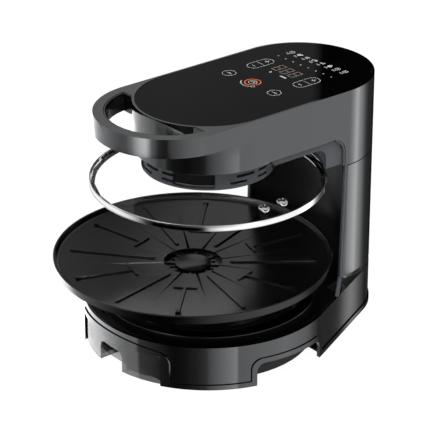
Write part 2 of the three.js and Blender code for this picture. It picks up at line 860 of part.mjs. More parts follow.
// Black moulding that closes the column: a hollow front wall that follows the plate's rim, and a top
function columnLiner() {
  const inset = casingWall + seatGap;
  const sweepRadius = plateRadius + plateSweepGap;
  const sweep = (radius) => circle(radius, wideSteps, 0, plateSeatBack);
  const trimInside = headRadius - trimDepth - seatGap;
  const inside = [
    ...arc(0, columnBack, headRadius - inset, 0, 180, largeSteps),
    point(-headRadius + inset, columnBack / 2), point(headRadius - inset, columnBack / 2),
  ];
  const block = prism(inside, baseHeight, columnTop);
  const frontCut = prism(sweep(sweepRadius), 0, splitHeight + cutOverrun);
  const hollow = cut(
    prism(inside, 0, columnTop - columnLinerWall),
    prism(sweep(sweepRadius + columnLinerWall), 0, splitHeight + cutOverrun));
  const trimWay = (side) => prism(
    rectangle(side * trimInside, 0, side * headRadius, trimHeadFront + trimWidth + seatGap),
    0, splitHeight + cutOverrun);
  return cut(block, frontCut, hollow, hingePocket(), trimWay(1), trimWay(-1));
}

function powerBoard() {
  const half = powerBoardWidth / 2;
  const board = prism(rectangle(-half, powerBoardBack, half, powerBoardBack + boardThickness),
    powerBoardLow, powerBoardHigh);
  const back = powerBoardBack + boardThickness;
  const relay = prism(rectangle(-half / 2, back, 0, back + half / 3), powerBoardLow + half / 3, powerBoardLow + half);
  const transformer = prism(rectangle(half / 4, back, half * 0.8, back + half / 2),
    powerBoardLow + half / 3, powerBoardLow + half);
  const capacitor = post(half / 6, powerBoardHigh - half, powerBoardHigh - half / 2, smallSteps,
    -half / 2, back + half / 6 - boardThickness / 2);
  const legs = [-1, 1].map((side) => prism(
    rectangle(side * half - boardThickness, powerBoardBack, side * half + boardThickness, back),
    deckTop + seatGap, powerBoardLow));
  return join(board, relay, transformer, capacitor, ...legs);
}

// Hinge at the back of the split: outer knuckles on the column, the middle one on the head
function barrel(from, to) {
  return cut(
    postX(barrelRadius, from, to, smallSteps, hingeBack, splitHeight),
    postX(pinRadius + seatGap, from - cutOverrun, to + cutOverrun, smallSteps, hingeBack, splitHeight));
}

function leaf(low, high) {
  const front = hingeBack - barrelRadius;
  return prism(rectangle(-leafHalf, front, leafHalf, front + leafThickness), low, high);
}

function knuckleWeb(from, to, low, high) {
  const front = hingeBack - barrelRadius;
  return cut(
    prism(rectangle(from, front, to, front + leafThickness), low, high),
    postX(pinRadius + seatGap, from - cutOverrun, to + cutOverrun, smallSteps, hingeBack, splitHeight));
}

function hingeBracket() {
  const low = splitHeight - barrelRadius - runningGap;
  const parts = [-1, 1].map((side) => {
    const [from, to] = [side * knuckleHalf + side * seatGap, side * barrelHalf].sort((a, b) => a - b);
    return join(barrel(from, to), knuckleWeb(from, to, low - leafThickness, splitHeight));
  });
  return join(leaf(low - leafHeight, low), ...parts);
}

function hingeLeaf() {
  const high = splitHeight + barrelRadius + runningGap;
  return join(
    leaf(high, high + leafHeight),
    barrel(-knuckleHalf, knuckleHalf),
    knuckleWeb(-knuckleHalf, knuckleHalf, splitHeight, high + leafThickness));
}

function hingePin() {
  const end = barrelHalf + seatGap;
  return join(
    postX(pinRadius, -end - pinHeadWidth, end + pinHeadWidth, smallSteps, hingeBack, splitHeight),
    postX(pinHeadRadius, end, end + pinHeadWidth, smallSteps, hingeBack, splitHeight),
    postX(pinHeadRadius, -end - pinHeadWidth, -end, smallSteps, hingeBack, splitHeight));
}

// Opening of the handle loop: a round hole, less the drum, cut off square at its two tips
function fingerOpening(radius, drumRadius, tipBack, low, high) {
  return meet(
    cut(post(radius, low, high, largeSteps, 0, -handleForward), post(drumRadius, low, high, largeSteps)),
    prism(rectangle(-headRadius, -2 * headRadius, headRadius, -tipBack), low, high));
}

function headShell() {
  const top = headTop;
  const under = [
    point(-2 * headRadius, splitHeight - cutOverrun),
    point(trimHeadFront, splitHeight - cutOverrun),
    ...arc(sideCornerBack, sideLow - sideCorner, sideCorner, 0, 90, smallSteps),
    point(-2 * headRadius, sideLow),
  ];
  const body = cut(prism(headOutline(0), headLow, top), prismX(under, -2 * headRadius, 2 * headRadius));
  const drum = post(headRadius, drumLow, top, largeSteps);
  const loop = prism([
    ...arc(0, -handleForward, headRadius, 180, 360, largeSteps), point(headRadius, 0), point(-headRadius, 0),
  ], loopLow, top);
  const finger = fingerOpening(handleOpening + handleInsertWall, headRadius, handleTipBack - handleInsertWall,
    loopLow - cutOverrun, top + cutOverrun);
  return cut(
    join(body, drum, loop),
    finger,
    prism(headOutline(casingWall), splitHeight - cutOverrun, ledgeLow),
    prism(headOutline(casingWall + ledgeWidth), ledgeLow - cutOverrun, top + cutOverrun),
    prism(headOutline(glassInset - seatGap), glassLow - seatGap, top + cutOverrun),
    hingePocket());
}

function handleInsert() {
  const [low, high] = [loopLow + seatGap, headTop - seatGap];
  const outer = fingerOpening(handleOpening + handleInsertWall - seatGap, headRadius + seatGap,
    handleTipBack - handleInsertWall + seatGap, low, high);
  const inner = fingerOpening(handleOpening, headRadius - cutOverrun, handleTipBack, low - cutOverrun, high + cutOverrun);
  return cut(outer, inner);
}

function controlGlass() {
  return prism(headOutline(glassInset), glassLow, headTop);
}

// Slate tray under the head, with a collar round the fan and a hollow nest behind the lid
function headLiner() {
  const low = linerLow;
  const turnBack = linerBackStart + linerTurn;
  const roof = sideLow + linerWall;
  const sideView = [
    point(linerFront + linerFrontCorner, low),
    ...arc(linerBackStart, low - linerTurn, linerTurn, 90, 0, smallSteps),
    point(turnBack, linerFoot), point(hingeBack, linerFoot), point(hingeBack, roof),
    point(linerFront, roof), point(linerFront, low + linerFrontCorner),
  ];
  const inset = headRadius - linerSide + seatGap;
  const plan = prism(headOutline(inset), headLow, headTop);
  const nestHalf = headRadius - inset - linerWall;
  const nest = meet(
    post(lidNestRadius, low - 2 * linerTurn - cutOverrun, low, wideSteps),
    prism(rectangle(-nestHalf, 0, nestHalf, 2 * columnBack), 0, headTop));
  const outside = cut(meet(prismX(sideView, -headRadius, headRadius), plan), nest);
  const inner = meet(
    prismX(sideView.map((corner) => point(corner.x, corner.y + linerWall)), -headRadius, headRadius),
    prism(headOutline(inset + linerWall), headLow, headTop));
  const nestWall = post(lidNestRadius + linerWall, 0, low + linerWall, wideSteps);
  const shell = cut(outside, cut(inner, nestWall));
  const collarOuter = ventRadius + seatGap + fanChamberWall;
  const collar = post(collarOuter, drumLow + seatGap, fanChamberTop, largeSteps);
  const rearCollar = meet(
    post(collarOuter, low, fanChamberTop, largeSteps),
    prism(rectangle(-headRadius, linerFront, headRadius, columnBack), 0, headTop));
  const flange = post(cavityRadius - seatGap, drumLow + seatGap, drumLow + seatGap + linerWall, largeSteps);
  const throat = post(ventRadius + seatGap, 0, headTop, largeSteps);
  const leafSide = leafHalf + runningGap;
  const leafWay = prism(rectangle(-leafSide, hingeBack - barrelRadius - runningGap, leafSide, 2 * hingeBack), 0, headTop);
  return cut(join(shell, collar, rearCollar, flange), throat, hingePocket(), leafWay);
}

function ventWindow(low, high, middle, sweep) {
  return meet(
    pipe(ventRadius + cutOverrun, ventRadius - ventWall - cutOverrun / 3, low, high, mediumSteps),
    prism(sector(2 * ventRadius, middle, sweep), low, high));
}

function ventRing() {
  const wall = revolve([
    [ventRadius - ventLip - ventWall, ventLow], [ventRadius, ventLow], [ventRadius, ventHigh],
    [ventRadius - ventWall, ventHigh], [ventRadius - ventWall, ventLow + ventLipThickness],
    [ventRadius - ventLip - ventWall, ventLow + ventLipThickness],
  ], largeSteps);
  const windows = windowAngles.map((angle) => ventWindow(windowLow, windowHigh, angle, windowSweep));
  const rows = [[slotLow, lowSlots], [slotHigh, highSlots]];
  const slots = slotSectors.flatMap((sectorAngle) => rows.flatMap(([low, spans]) =>
    spans.map(([from, to]) => ventWindow(low, low + slotHeight, sectorAngle + (from + to) / 2, to - from))));
  return cut(wall, ...windows, ...slots);
}

// Grille of flat rings and spokes that rests on the vent ring's lip
function heaterGuard() {
  const outer = ventRadius - ventWall - seatGap;
  const high = guardHeight + guardWire;
  const hub = post(guardHub, guardHeight, high, smallSteps);
  const rings = Array.from({ length: guardRings }, (_, i) => {
    const radius = guardHub + (outer - guardHub) * (i + 1) / guardRings;
    return pipe(radius, radius - guardWire, guardHeight, high, mediumSteps);
  });
  const spoke = prism(rectangle(0, -guardWire / 2, outer - guardWire / 2, guardWire / 2), guardHeight, high);
  const spokes = Array.from({ length: guardSpokes }, (_, i) => spoke.rotate([0, 0, 360 * i / guardSpokes]));
  return join(hub, ...rings, ...spokes);
}

function heatReflector() {
  const disc = post(cavityRadius - seatGap, reflectorHeight, reflectorHeight + reflectorThickness, largeSteps);
  const hole = (radius, x, y) => post(radius, reflectorHeight - cutOverrun, reflectorHeight + cutOverrun, smallSteps, x, y);
  const legs = elementLegs(upperElementRadius).map((leg) => hole(elementTube / 2 + legClearance, leg.x, leg.y));
  const probe = polar(probePlace, probeAngle);
  return cut(disc, hole(shaftRadius + runningGap, 0, 0), ...legs, hole(probeRadius + seatGap, probe.x, probe.y));
}

function fanImpeller() {
  const disc = post(impellerRadius, impellerHigh - impellerDisc, impellerHigh, mediumSteps);
  const hub = post(impellerHub, impellerLow, impellerHigh, smallSteps);
  const tip = polar(impellerRadius, bladeSweep);
  const middle = polar((bladeRoot + impellerRadius) / 2, bladeSweep / 3);
  const curve = new THREE.QuadraticBezierCurve(point(bladeRoot, 0), middle, tip).getPoints(4);
  const blade = prism([
    ...curve.map((place) => point(place.x, place.y - bladeThickness / 2)),
    ...curve.toReversed().map((place) => point(place.x, place.y + bladeThickness / 2)),
  ], impellerLow, impellerHigh);
  const blades = Array.from({ length: impellerBlades }, (_, i) => blade.rotate([0, 0, 360 * i / impellerBlades]));
  const bore = post(shaftRadius + seatGap, impellerLow - cutOverrun, impellerHigh + cutOverrun, smallSteps);
  return cut(meet(join(disc, hub, ...blades), post(impellerRadius, 0, headTop, mediumSteps)), bore);
}

function motorShaft() {
  return post(shaftRadius, shaftLow, shaftHigh, smallSteps);
}

function coolingFan() {
  const hub = post(coolingHub, coolingLow, coolingHigh, smallSteps);
  const pitch = (coolingHigh - coolingLow) / coolingBladeWidth;
  const blade = prismX([
    point(-coolingBladeWidth / 2, coolingLow), point(coolingBladeWidth / 2, coolingHigh - bladeThickness),
    point(coolingBladeWidth / 2, coolingHigh), point(-coolingBladeWidth / 2, coolingLow + bladeThickness),
  ], coolingHub * (1 - pitch / 2), coolingRadius);
  const blades = Array.from({ length: coolingBlades }, (_, i) => blade.rotate([0, 0, 360 * i / coolingBlades]));
  const bore = post(shaftRadius + seatGap, coolingLow - cutOverrun, coolingHigh + cutOverrun, smallSteps);
  return cut(meet(join(hub, ...blades), post(coolingRadius, 0, headTop, mediumSteps)), bore);
}

function motorBracket() {
  const footing = reflectorHeight + reflectorThickness + seatGap;
  const plate = post(bracketRadius, bracketHeight - bracketPlate, bracketHeight, mediumSteps);
  const half = bracketLegWidth / 2;
  const leg = prism(rectangle(bracketRadius - bracketLegWidth, -half, bracketRadius, half), footing, bracketHeight);
  const legs = Array.from({ length: bracketLegs }, (_, i) => leg.rotate([0, 0, 45 + 360 * i / bracketLegs]));
  const bore = post(shaftRadius + cutOverrun / 4, footing - cutOverrun, bracketHeight + cutOverrun, smallSteps);
  return cut(meet(join(plate, ...legs), post(bracketRadius, 0, headTop, mediumSteps)), bore);
}

function fanMotor() {
  return revolve([
    [shaftRadius + seatGap, bracketHeight], [motorRadius, bracketHeight],
    [motorRadius, (bracketHeight + motorTop) / 2], [motorBell, motorTop], [shaftRadius + seatGap, motorTop],
  ], mediumSteps);
}

function temperatureProbe() {
  const { x, y } = polar(probePlace, probeAngle);
  const collarLow = reflectorHeight + reflectorThickness + seatGap;
  return join(
    post(probeRadius, probeLow, probeHigh, tinySteps, x, y),
    post(probeCollar, collarLow, collarLow + probeRadius, tinySteps, x, y));
}

// Board under the glass: touch pads reach up to the glass, rails stand on the liner's rear floor
function controlBoard() {
  const half = boardWidth / 2;
  const top = glassLow - seatGap;
  const board = prism(rectangle(-half, boardFront, half, boardEnd), boardHeight, boardHeight + boardThickness);
  const pads = [-touchPlace, 0, touchPlace].map((x) => post(touchRadius, boardHeight, top, smallSteps, x, touchBack));
  const posts = [[-1, boardEnd - touchRadius], [1, boardEnd - touchRadius]].map(([side, y]) =>
    post(touchRadius / 2, boardHeight, top, tinySteps, side * touchPlace, y));
  return join(board, ...pads, ...posts);
}

function displayModule() {
  const [x, y] = [displayOffset, displayBack];
  return prism(rectangle(x - displayWidth / 2, y - displayDepth / 2, x + displayWidth / 2, y + displayDepth / 2),
    boardHeight + boardThickness + seatGap, glassLow - seatGap);
}

// Grill plate: a shallow cast dish that falls to a ring sump round the drain cap
function plateHeight(radius) {
  const slope = (dishOuterHeight - dishInnerHeight) / (dishOuter - dishInner);
  return dishInnerHeight + slope * (radius - dishInner);
}

function plateCasting() {
  return revolve([
    [0, sumpHeight - sumpFloor], [dishInner + sumpWall, sumpHeight - sumpFloor],
    [dishInner + sumpWall, dishInnerHeight - plateWall], [padInner, padLow], [padOuter, padLow],
    [plateSkirtRadius, plateSkirtLow], [plateRadius, plateRimTop], [plateRadius - plateWall, plateRimTop],
    [dishOuter, dishOuterHeight], [dishInner, dishInnerHeight], [dishInner, sumpHeight],
    [hubRadius, sumpHeight], [hubRadius, hubHeight], [0, hubHeight],
  ], wideSteps);
}

// A block that stands proud of the dish by the same height everywhere, for ribs and bars
function dishSkin(low, high) {
  return revolve([
    [0, plateHeight(0) + low], [dishOuter, plateHeight(dishOuter) + low],
    [dishOuter, plateHeight(dishOuter) + high], [0, plateHeight(0) + high],
  ], wideSteps);
}

function dishBlock(outline) {
  return prism(outline, sumpHeight, plateRimTop + cutOverrun);
}

function dishPattern(outline, count, firstAngle) {
  const block = dishBlock(outline);
  return Array.from({ length: count }, (_, i) => block.rotate([0, 0, firstAngle + 360 * i / count]));
}

function grillPlate() {
  const bar = rectangle(barStart, -barWidth / 2, barEnd, barWidth / 2);
  const stem = rectangle(teeStart, -teeStem / 2, teeEnd, teeStem / 2);
  const cross = [
    ...arc(0, 0, teeStart + teeCross, -teeSweep / 2, teeSweep / 2, mediumSteps),
    ...arc(0, 0, teeStart, teeSweep / 2, -teeSweep / 2, mediumSteps),
  ];
  const ribs = meet(
    join(...dishPattern(bar, bars, 45), ...dishPattern(stem, bars, 15), ...dishPattern(cross, bars, 15)),
    dishSkin(-plateWall / 2, barProud));
  const channel = [
    point(channelStart, -channelWidth / 2), point(channelEnd, -channelWidth / 5),
    point(channelEnd, channelWidth / 5), point(channelStart, channelWidth / 2),
  ];
  const grooves = meet(join(...dishPattern(channel, channels, 0)), dishSkin(-channelDepth, channelDepth));
  const drains = Array.from({ length: drainHoles }, (_, i) => {
    const place = polar((dishInner + hubRadius) / 2, 360 * (i + 0.5) / drainHoles);
    return post(drainHoleRadius, sumpHeight - cutOverrun, sumpHeight + cutOverrun / 4, tinySteps, place.x, place.y);
  });
  const bore = post(hubBore, sumpHeight - cutOverrun, hubHeight + cutOverrun, smallSteps);
  return cut(join(plateCasting(), ribs), grooves, ...drains, bore).translate([0, plateBack, 0]);
}

function drainCap() {
  const seat = hubHeight + seatGap;
  return revolve([
    [0, seat - capStemLength], [capStem, seat - capStemLength], [capStem, seat], [capRadius, seat],
    [capRadius, seat + capEdge], [capRadius * 0.92, seat + capEdge + capDome * 0.3],
    [capRadius * 0.6, seat + capEdge + capDome * 0.8], [0, seat + capEdge + capDome],
  ], mediumSteps, 0, plateBack);
}

const glassUnder = lidTop - lidBand + lidLip + lidGasket + seatGap;

function lidRim() {
  const low = lidTop - lidBand;
  const inner = lidRadius - lidBandWall;
  return revolve([
    [inner - lidLipWidth, low], [lidRadius, low], [lidRadius, lidTop], [inner, lidTop],
    [inner, low + lidLip], [inner - lidLipWidth, low + lidLip],
  ], wideSteps);
}

function lidSeal() {
  const low = lidTop - lidBand + lidLip;
  const outer = lidRadius - lidBandWall - seatGap;
  return pipe(outer, outer - lidLipWidth + lidLip, low, low + lidGasket, mediumSteps);
}

const studPlaces = [point(studPlace, -studSpread), point(studPlace, studSpread)];

function lidPane() {
  const disc = post(lidRadius - lidBandWall - seatGap, glassUnder, glassUnder + lidGlass, wideSteps);
  const holes = studPlaces.map(({ x, y }) =>
    post(studShank + seatGap, glassUnder - cutOverrun, glassUnder + lidGlass + cutOverrun, smallSteps, x, y));
  return cut(disc, ...holes);
}

function lidStud({ x, y }) {
  const glassTop = glassUnder + lidGlass;
  const nutLow = glassUnder - studNutHeight;
  return revolve([
    [0, nutLow], [studNut, nutLow], [studNut, glassUnder], [studShank, glassUnder], [studShank, glassTop],
    [studRadius, glassTop], [studRadius, glassTop + studHeight * 0.5],
    [studRadius * 0.86, glassTop + studHeight * 0.8], [studRadius * 0.5, glassTop + studHeight * 0.96],
    [0, glassTop + studHeight],
  ], smallSteps, x, y);
}

// Base and what it carries
place('base_skirt', baseSkirt(), gunmetal);
place('base_deck', baseDeck(), blackPlastic);
place('well_ring', wellRing(), nonStick);
place('heater_pan', heaterPan(), aluminium);
place('lower_element', element(lowerElementRadius, lowerElementHeight, lowerLegHeight), elementSteel);
place('drain_funnel', drainFunnel(), aluminium);
place('base_floor', baseFloor(), blackPlastic);
footPlaces.forEach(([x, y], i) => place(`foot_${i + 1}`, foot(x, y), rubber));
footPlaces.forEach(([x, y], i) => place(`floor_screw_${i + 1}`, floorScrew(x, y), steel));
place('grip_scoop_right', gripScoop(1), blackPlastic);
place('grip_scoop_left', gripScoop(-1), blackPlastic);
place('drip_drawer', dripDrawer(), smokedPlastic);
place('drawer_rail_right', drawerRail(1), blackPlastic);
place('drawer_rail_left', drawerRail(-1), blackPlastic);
place('cord_gland', cordGland(), rubber);

// Column and hinge
place('column_shell', columnShell(), gunmetal);
place('column_trim_right', columnTrim(1), slate);
place('column_trim_left', columnTrim(-1), slate);
place('column_liner', columnLiner(), blackPlastic);
place('power_board', powerBoard(), circuitBoard);
place('hinge_bracket', hingeBracket(), steel);
place('hinge_pin', hingePin(), steel);

// Head
place('head_shell', headShell(), gunmetal);
place('handle_insert', handleInsert(), blackPlastic);
place('control_glass', controlGlass(), blackGlass);
place('control_board', controlBoard(), circuitBoard);
place('display_module', displayModule(), blackPlastic);
place('head_liner', headLiner(), slate);
place('vent_ring', ventRing(), slate);
place('heater_guard', heaterGuard(), steel);
place('upper_element', element(upperElementRadius, upperElementHeight, upperLegTop), elementSteel);
place('heat_reflector', heatReflector(), aluminium);
place('temperature_probe', temperatureProbe(), steel);
place('motor_bracket', motorBracket(), steel);
place('fan_motor', fanMotor(), steel);
place('hinge_leaf', hingeLeaf(), steel);

// Fan, which turns on the motor's shaft
place('fan_impeller', fanImpeller(), aluminium);
place('motor_shaft', motorShaft(), steel);
place('cooling_fan', coolingFan(), blackPlastic);

// Grill plate and glass lid, lifted off as the photograph shows them
place('grill_plate', grillPlate(), nonStick);
place('drain_cap', drainCap(), nonStick);
place('lid_pane', lidPane(), clearGlass);
place('lid_rim', lidRim(), chrome);
place('lid_seal', lidSeal(), rubber);
studPlaces.forEach((spot, i) => place(`lid_stud_${i + 1}`, lidStud(spot), chrome));

export default machine;
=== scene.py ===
"""Air fryer grill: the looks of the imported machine, in metres, in the frame's own axes.

The front with the loop handle is towards -Y, the column stands at +Y, and +Z is up.
"""

import json
import math

import bpy
from mathutils import Matrix, Vector

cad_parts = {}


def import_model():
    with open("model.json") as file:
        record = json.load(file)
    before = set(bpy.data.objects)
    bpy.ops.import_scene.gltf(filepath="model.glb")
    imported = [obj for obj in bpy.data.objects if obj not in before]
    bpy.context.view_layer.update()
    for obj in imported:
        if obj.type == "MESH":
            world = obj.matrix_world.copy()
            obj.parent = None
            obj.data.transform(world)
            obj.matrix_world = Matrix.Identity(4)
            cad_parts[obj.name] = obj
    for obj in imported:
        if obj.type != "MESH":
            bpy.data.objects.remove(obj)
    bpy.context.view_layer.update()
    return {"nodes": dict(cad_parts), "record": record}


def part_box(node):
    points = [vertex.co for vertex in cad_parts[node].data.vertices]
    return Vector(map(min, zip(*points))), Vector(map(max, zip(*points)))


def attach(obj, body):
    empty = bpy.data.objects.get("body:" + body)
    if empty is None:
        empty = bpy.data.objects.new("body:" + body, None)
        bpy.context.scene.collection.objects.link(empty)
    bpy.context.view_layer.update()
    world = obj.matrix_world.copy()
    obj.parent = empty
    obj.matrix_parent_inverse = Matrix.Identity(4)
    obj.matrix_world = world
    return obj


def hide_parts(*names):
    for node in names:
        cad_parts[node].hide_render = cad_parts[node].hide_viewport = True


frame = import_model()

MM = 0.001
WIDE = 192  # facets round the plate, the lid and the base
ROUND = 128  # facets round the head and the vent ring
FINE = 48  # facets round buttons, studs and marks
SHORT = 16  # facets along a window, or round a drain hole or a lamp
HAIR = 0.3 * MM  # the working gap between two pieces
OVERRUN = 12 * MM  # how far a cutter passes the piece that it cuts
WELD = 0.01 * MM  # points nearer than this are one point

SLOT_OF = {part["node"]: part["material_slot"] for part in frame["record"]["subparts"]}
BODY_OF = {node: body for body, nodes in frame["record"]["behaviour"]["bodies"].items() for node in nodes}

# Places taken from the frame

skirt_low, skirt_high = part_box("base_skirt")
head_low, head_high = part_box("head_shell")
vent_low, vent_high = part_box("vent_ring")
plate_low, plate_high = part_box("grill_plate")
lid_low, lid_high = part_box("lid_rim")
pane_low, pane_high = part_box("lid_pane")

AXIS_Y = (vent_low.y + vent_high.y) / 2
FOOT_LIFT = skirt_low.z
HEAD_RADIUS = head_high.x
HEAD_BACK_Y = head_high.y - HEAD_RADIUS
HEAD_TOP = head_high.z
LOOP_Y = head_low.y + HEAD_RADIUS
PLATE_Y = (plate_low.y + plate_high.y) / 2
LID_Y = (lid_low.y + lid_high.y) / 2


def up(height):
    """Height in millimetres above the skirt's lower edge, as a place in the frame."""
    return FOOT_LIFT + height * MM


def back(distance):
    """Distance in millimetres behind the working axis, as a place in the frame."""
    return AXIS_Y + distance * MM


# Modelling tools


def at_rest():
    """Object mode with nothing selected."""
    if bpy.context.object and bpy.context.object.mode != "OBJECT":
        bpy.ops.object.mode_set(mode="OBJECT")
    bpy.ops.object.select_all(action="DESELECT")


def pick(piece):
    """Selects one piece alone."""
    at_rest()
    bpy.context.view_layer.objects.active = piece
    piece.select_set(True)
    return piece


def new_piece(name):
    """Names the piece that was just made, with its place in its mesh and its origin at the frame's."""
    piece = bpy.context.object
    piece.name = name
    piece.data.name = name
    pick(piece)
    bpy.ops.object.transform_apply(location=True, rotation=True, scale=True)
    return piece


def post(name, radius, low, high, x=0.0, y=0.0, steps=ROUND):
    """A round post between two heights."""
    at_rest()
    bpy.ops.mesh.primitive_cylinder_add(
        vertices=steps, radius=radius, depth=high - low, location=(x, y, (low + high) / 2)
    )
    return new_piece(name)


def block(name, low, high, corner=0.0):
    """A block between two corners, its upright edges rounded by the corner's size."""
    at_rest()
    middle = [(a + b) / 2 for a, b in zip(low, high)]
    bpy.ops.mesh.primitive_cube_add(size=1, location=middle)
    bpy.context.object.scale = [b - a for a, b in zip(low, high)]
    piece = new_piece(name)
    if corner:
        bpy.ops.object.mode_set(mode="EDIT")
        bpy.ops.mesh.select_mode(type="EDGE")
        bpy.ops.mesh.select_all(action="DESELECT")
        bpy.ops.object.mode_set(mode="OBJECT")
        for edge in piece.data.edges:
            a, b = (piece.data.vertices[i].co for i in edge.vertices)
            edge.select = abs(a.z - b.z) > WELD
        bpy.ops.object.mode_set(mode="EDIT")
        bpy.ops.mesh.bevel(offset=corner, segments=6, affect="EDGES")
        bpy.ops.object.mode_set(mode="OBJECT")
    return piece


def taut(name, front_radius, back_radius, low, high, front=AXIS_Y, rear=HEAD_BACK_Y):
    """The body inside a taut band round two posts, one at the front and one at the rear."""
    piece = post(name, front_radius, low, high, 0, front, WIDE)
    bpy.ops.object.mode_set(mode="EDIT")
    bpy.ops.mesh.primitive_cylinder_add(
        vertices=WIDE, radius=back_radius, depth=high - low, location=(0, rear, (low + high) / 2)
    )
    bpy.ops.mesh.select_all(action="SELECT")
    bpy.ops.mesh.convex_hull(join_triangles=True)
    bpy.ops.mesh.select_all(action="SELECT")
    bpy.ops.mesh.dissolve_limited(angle_limit=math.radians(0.2))
    bpy.ops.object.mode_set(mode="OBJECT")
    return piece


def arc(centre, radius, start, end, steps):
    """Places on a circle in a side or front outline."""
    angles = [math.radians(start + (end - start) * i / steps) for i in range(steps + 1)]
    return [(centre[0] + radius * math.cos(a), centre[1] + radius * math.sin(a)) for a in angles]


def draw(places):
    """Leaves edit mode on with a line through the places, drawn by extruding one point."""
    at_rest()
    bpy.ops.mesh.primitive_plane_add(size=MM, location=(0, 0, 0))
    bpy.ops.object.mode_set(mode="EDIT")
    bpy.ops.mesh.select_mode(type="VERT")
    bpy.ops.mesh.merge(type="CENTER")
    places = [Vector(place) for place in places]
    bpy.ops.transform.translate(value=places[0])
    for before, after in zip(places, places[1:]):
        bpy.ops.mesh.extrude_vertices_move(TRANSFORM_OT_translate={"value": after - before})
    bpy.ops.mesh.select_all(action="SELECT")


def closed_face(places):
    """Leaves edit mode on with one face through the places."""
    draw([*places, places[0]])
    bpy.ops.mesh.remove_doubles(threshold=WELD)
    bpy.ops.mesh.edge_face_add()


def closed_up(name):
    """Ends edit mode: what was extruded or spun is welded and faces outwards."""
    bpy.ops.mesh.select_all(action="SELECT")
    bpy.ops.mesh.remove_doubles(threshold=WELD)
    bpy.ops.mesh.normals_make_consistent(inside=False)
    bpy.ops.object.mode_set(mode="OBJECT")
    return new_piece(name)


def slab(name, outline, axis, low, high):
    """A flat outline in the plane across X or Y, drawn out along that axis."""
    if axis == "X":
        closed_face([(low, a, b) for a, b in outline])
        way = (high - low, 0, 0)
    else:
        closed_face([(a, low, b) for a, b in outline])
        way = (0, high - low, 0)
    bpy.ops.mesh.extrude_region_move(TRANSFORM_OT_translate={"value": way})
    return closed_up(name)


def sector(name, reach, low, high, middle, sweep):
    """A piece of a ring about the working axis: its radii, heights, middle angle and sweep."""
    first = math.radians(middle + sweep / 2)  # the spin below turns clockwise seen from above
    corners = [(reach[0], low), (reach[1], low), (reach[1], high), (reach[0], high)]
    centre = Vector((0, AXIS_Y, 0))
    closed_face([centre + Vector((r * math.cos(first), r * math.sin(first), z)) for r, z in corners])
    bpy.ops.mesh.spin(steps=SHORT, angle=math.radians(sweep), center=centre, axis=(0, 0, 1))
    return closed_up(name)


def spun(name, outline, y=AXIS_Y, steps=WIDE):
    """A turned piece: the outline of (radius, height) points is drawn, then spun."""
    centre = Vector((0, y, 0))
    draw([centre + Vector((radius, 0, height)) for radius, height in outline])
    bpy.ops.mesh.spin(steps=steps, angle=2 * math.pi, center=centre, axis=(0, 0, 1))
    return closed_up(name)


def combine(piece, others, operation):
    """Applies a Boolean of the piece with each other shape, which is used up."""
    for other in others:
        pick(piece)
        change = piece.modifiers.new("shape", "BOOLEAN")
        change.operation = operation
        change.solver = "EXACT"
        change.object = other
        bpy.ops.object.modifier_apply(modifier=change.name)
        bpy.data.objects.remove(other)
    return piece


def cut(piece, *others):
    """Takes the other shapes out of the piece."""
    return combine(piece, others, "DIFFERENCE")


def join(piece, *others):
    """Adds the other shapes to the piece."""
    return combine(piece, others, "UNION")


def meet(piece, *others):
    """Keeps what the piece shares with the other shapes."""
    return combine(piece, others, "INTERSECT")


def gather(name, pieces):
    """Several shapes of one finish as one piece."""
    at_rest()
    for piece in pieces:
        piece.select_set(True)
    bpy.context.view_layer.objects.active = pieces[0]
    if len(pieces) > 1:
        bpy.ops.object.join()
    return new_piece(name)


def turned(angle, y, x=0.0):
    """The matrix of a turn about an upright axis."""
    centre = Matrix.Translation((x, y, 0))
    return centre @ Matrix.Rotation(math.radians(angle), 4, "Z") @ centre.inverted()


def round_plate(piece, count, first):
    """The piece repeated round the plate's centre as one shape; the pattern piece itself is used up."""
    copies = []
    for i in range(count):
        twin = piece.copy()
        twin.data = piece.data.copy()
        twin.data.transform(turned(first + 360 * i / count, PLATE_Y))
        bpy.context.scene.collection.objects.link(twin)
        copies.append(twin)
    name = piece.name
    bpy.data.objects.remove(piece)
    return gather(name + "_ring", copies)


def soften(piece, width, segments=3, angle=35):
    """Rounds every edge that is sharper than the angle."""
    pick(piece)
    change = piece.modifiers.new("edge", "BEVEL")
    change.width = width
    change.segments = segments
    change.limit_method = "ANGLE"
    change.angle_limit = math.radians(angle)
    change.miter_outer = "MITER_ARC"
    bpy.ops.object.modifier_apply(modifier=change.name)
    return piece


def tidy(piece):
    """Welds what a Boolean left behind."""
    pick(piece)
    bpy.ops.object.mode_set(mode="EDIT")
    bpy.ops.mesh.select_all(action="SELECT")
    bpy.ops.mesh.remove_doubles(threshold=0.004 * MM)
    bpy.ops.mesh.dissolve_degenerate(threshold=0.002 * MM)
    bpy.ops.object.mode_set(mode="OBJECT")
    return piece


def polish(piece, angle=32):
    """Smooth shading with flat faces kept flat."""
    pick(piece)
    bpy.ops.object.shade_smooth_by_angle(angle=math.radians(angle))
    change = piece.modifiers.new("shading", "WEIGHTED_NORMAL")
    change.keep_sharp = True
    change.weight = 60
    bpy.ops.object.modifier_apply(modifier=change.name)
    return piece


def fit(piece, body, slot, material, *nodes):
    """Finishes a piece: its material, its body and the CAD nodes that it stands for; the slot argument is not
    used.
    """
    piece.data.materials.clear()
    piece.data.materials.append(material)
    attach(piece, body)
    if nodes:
        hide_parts(*nodes)
    return piece


def fit_for(piece, node):
    """Finishes a piece that stands for one CAD node, with that node's body and the finish of its slot."""
    return fit(piece, BODY_OF[node], SLOT_OF[node], SLOT_FINISH[SLOT_OF[node]], node)


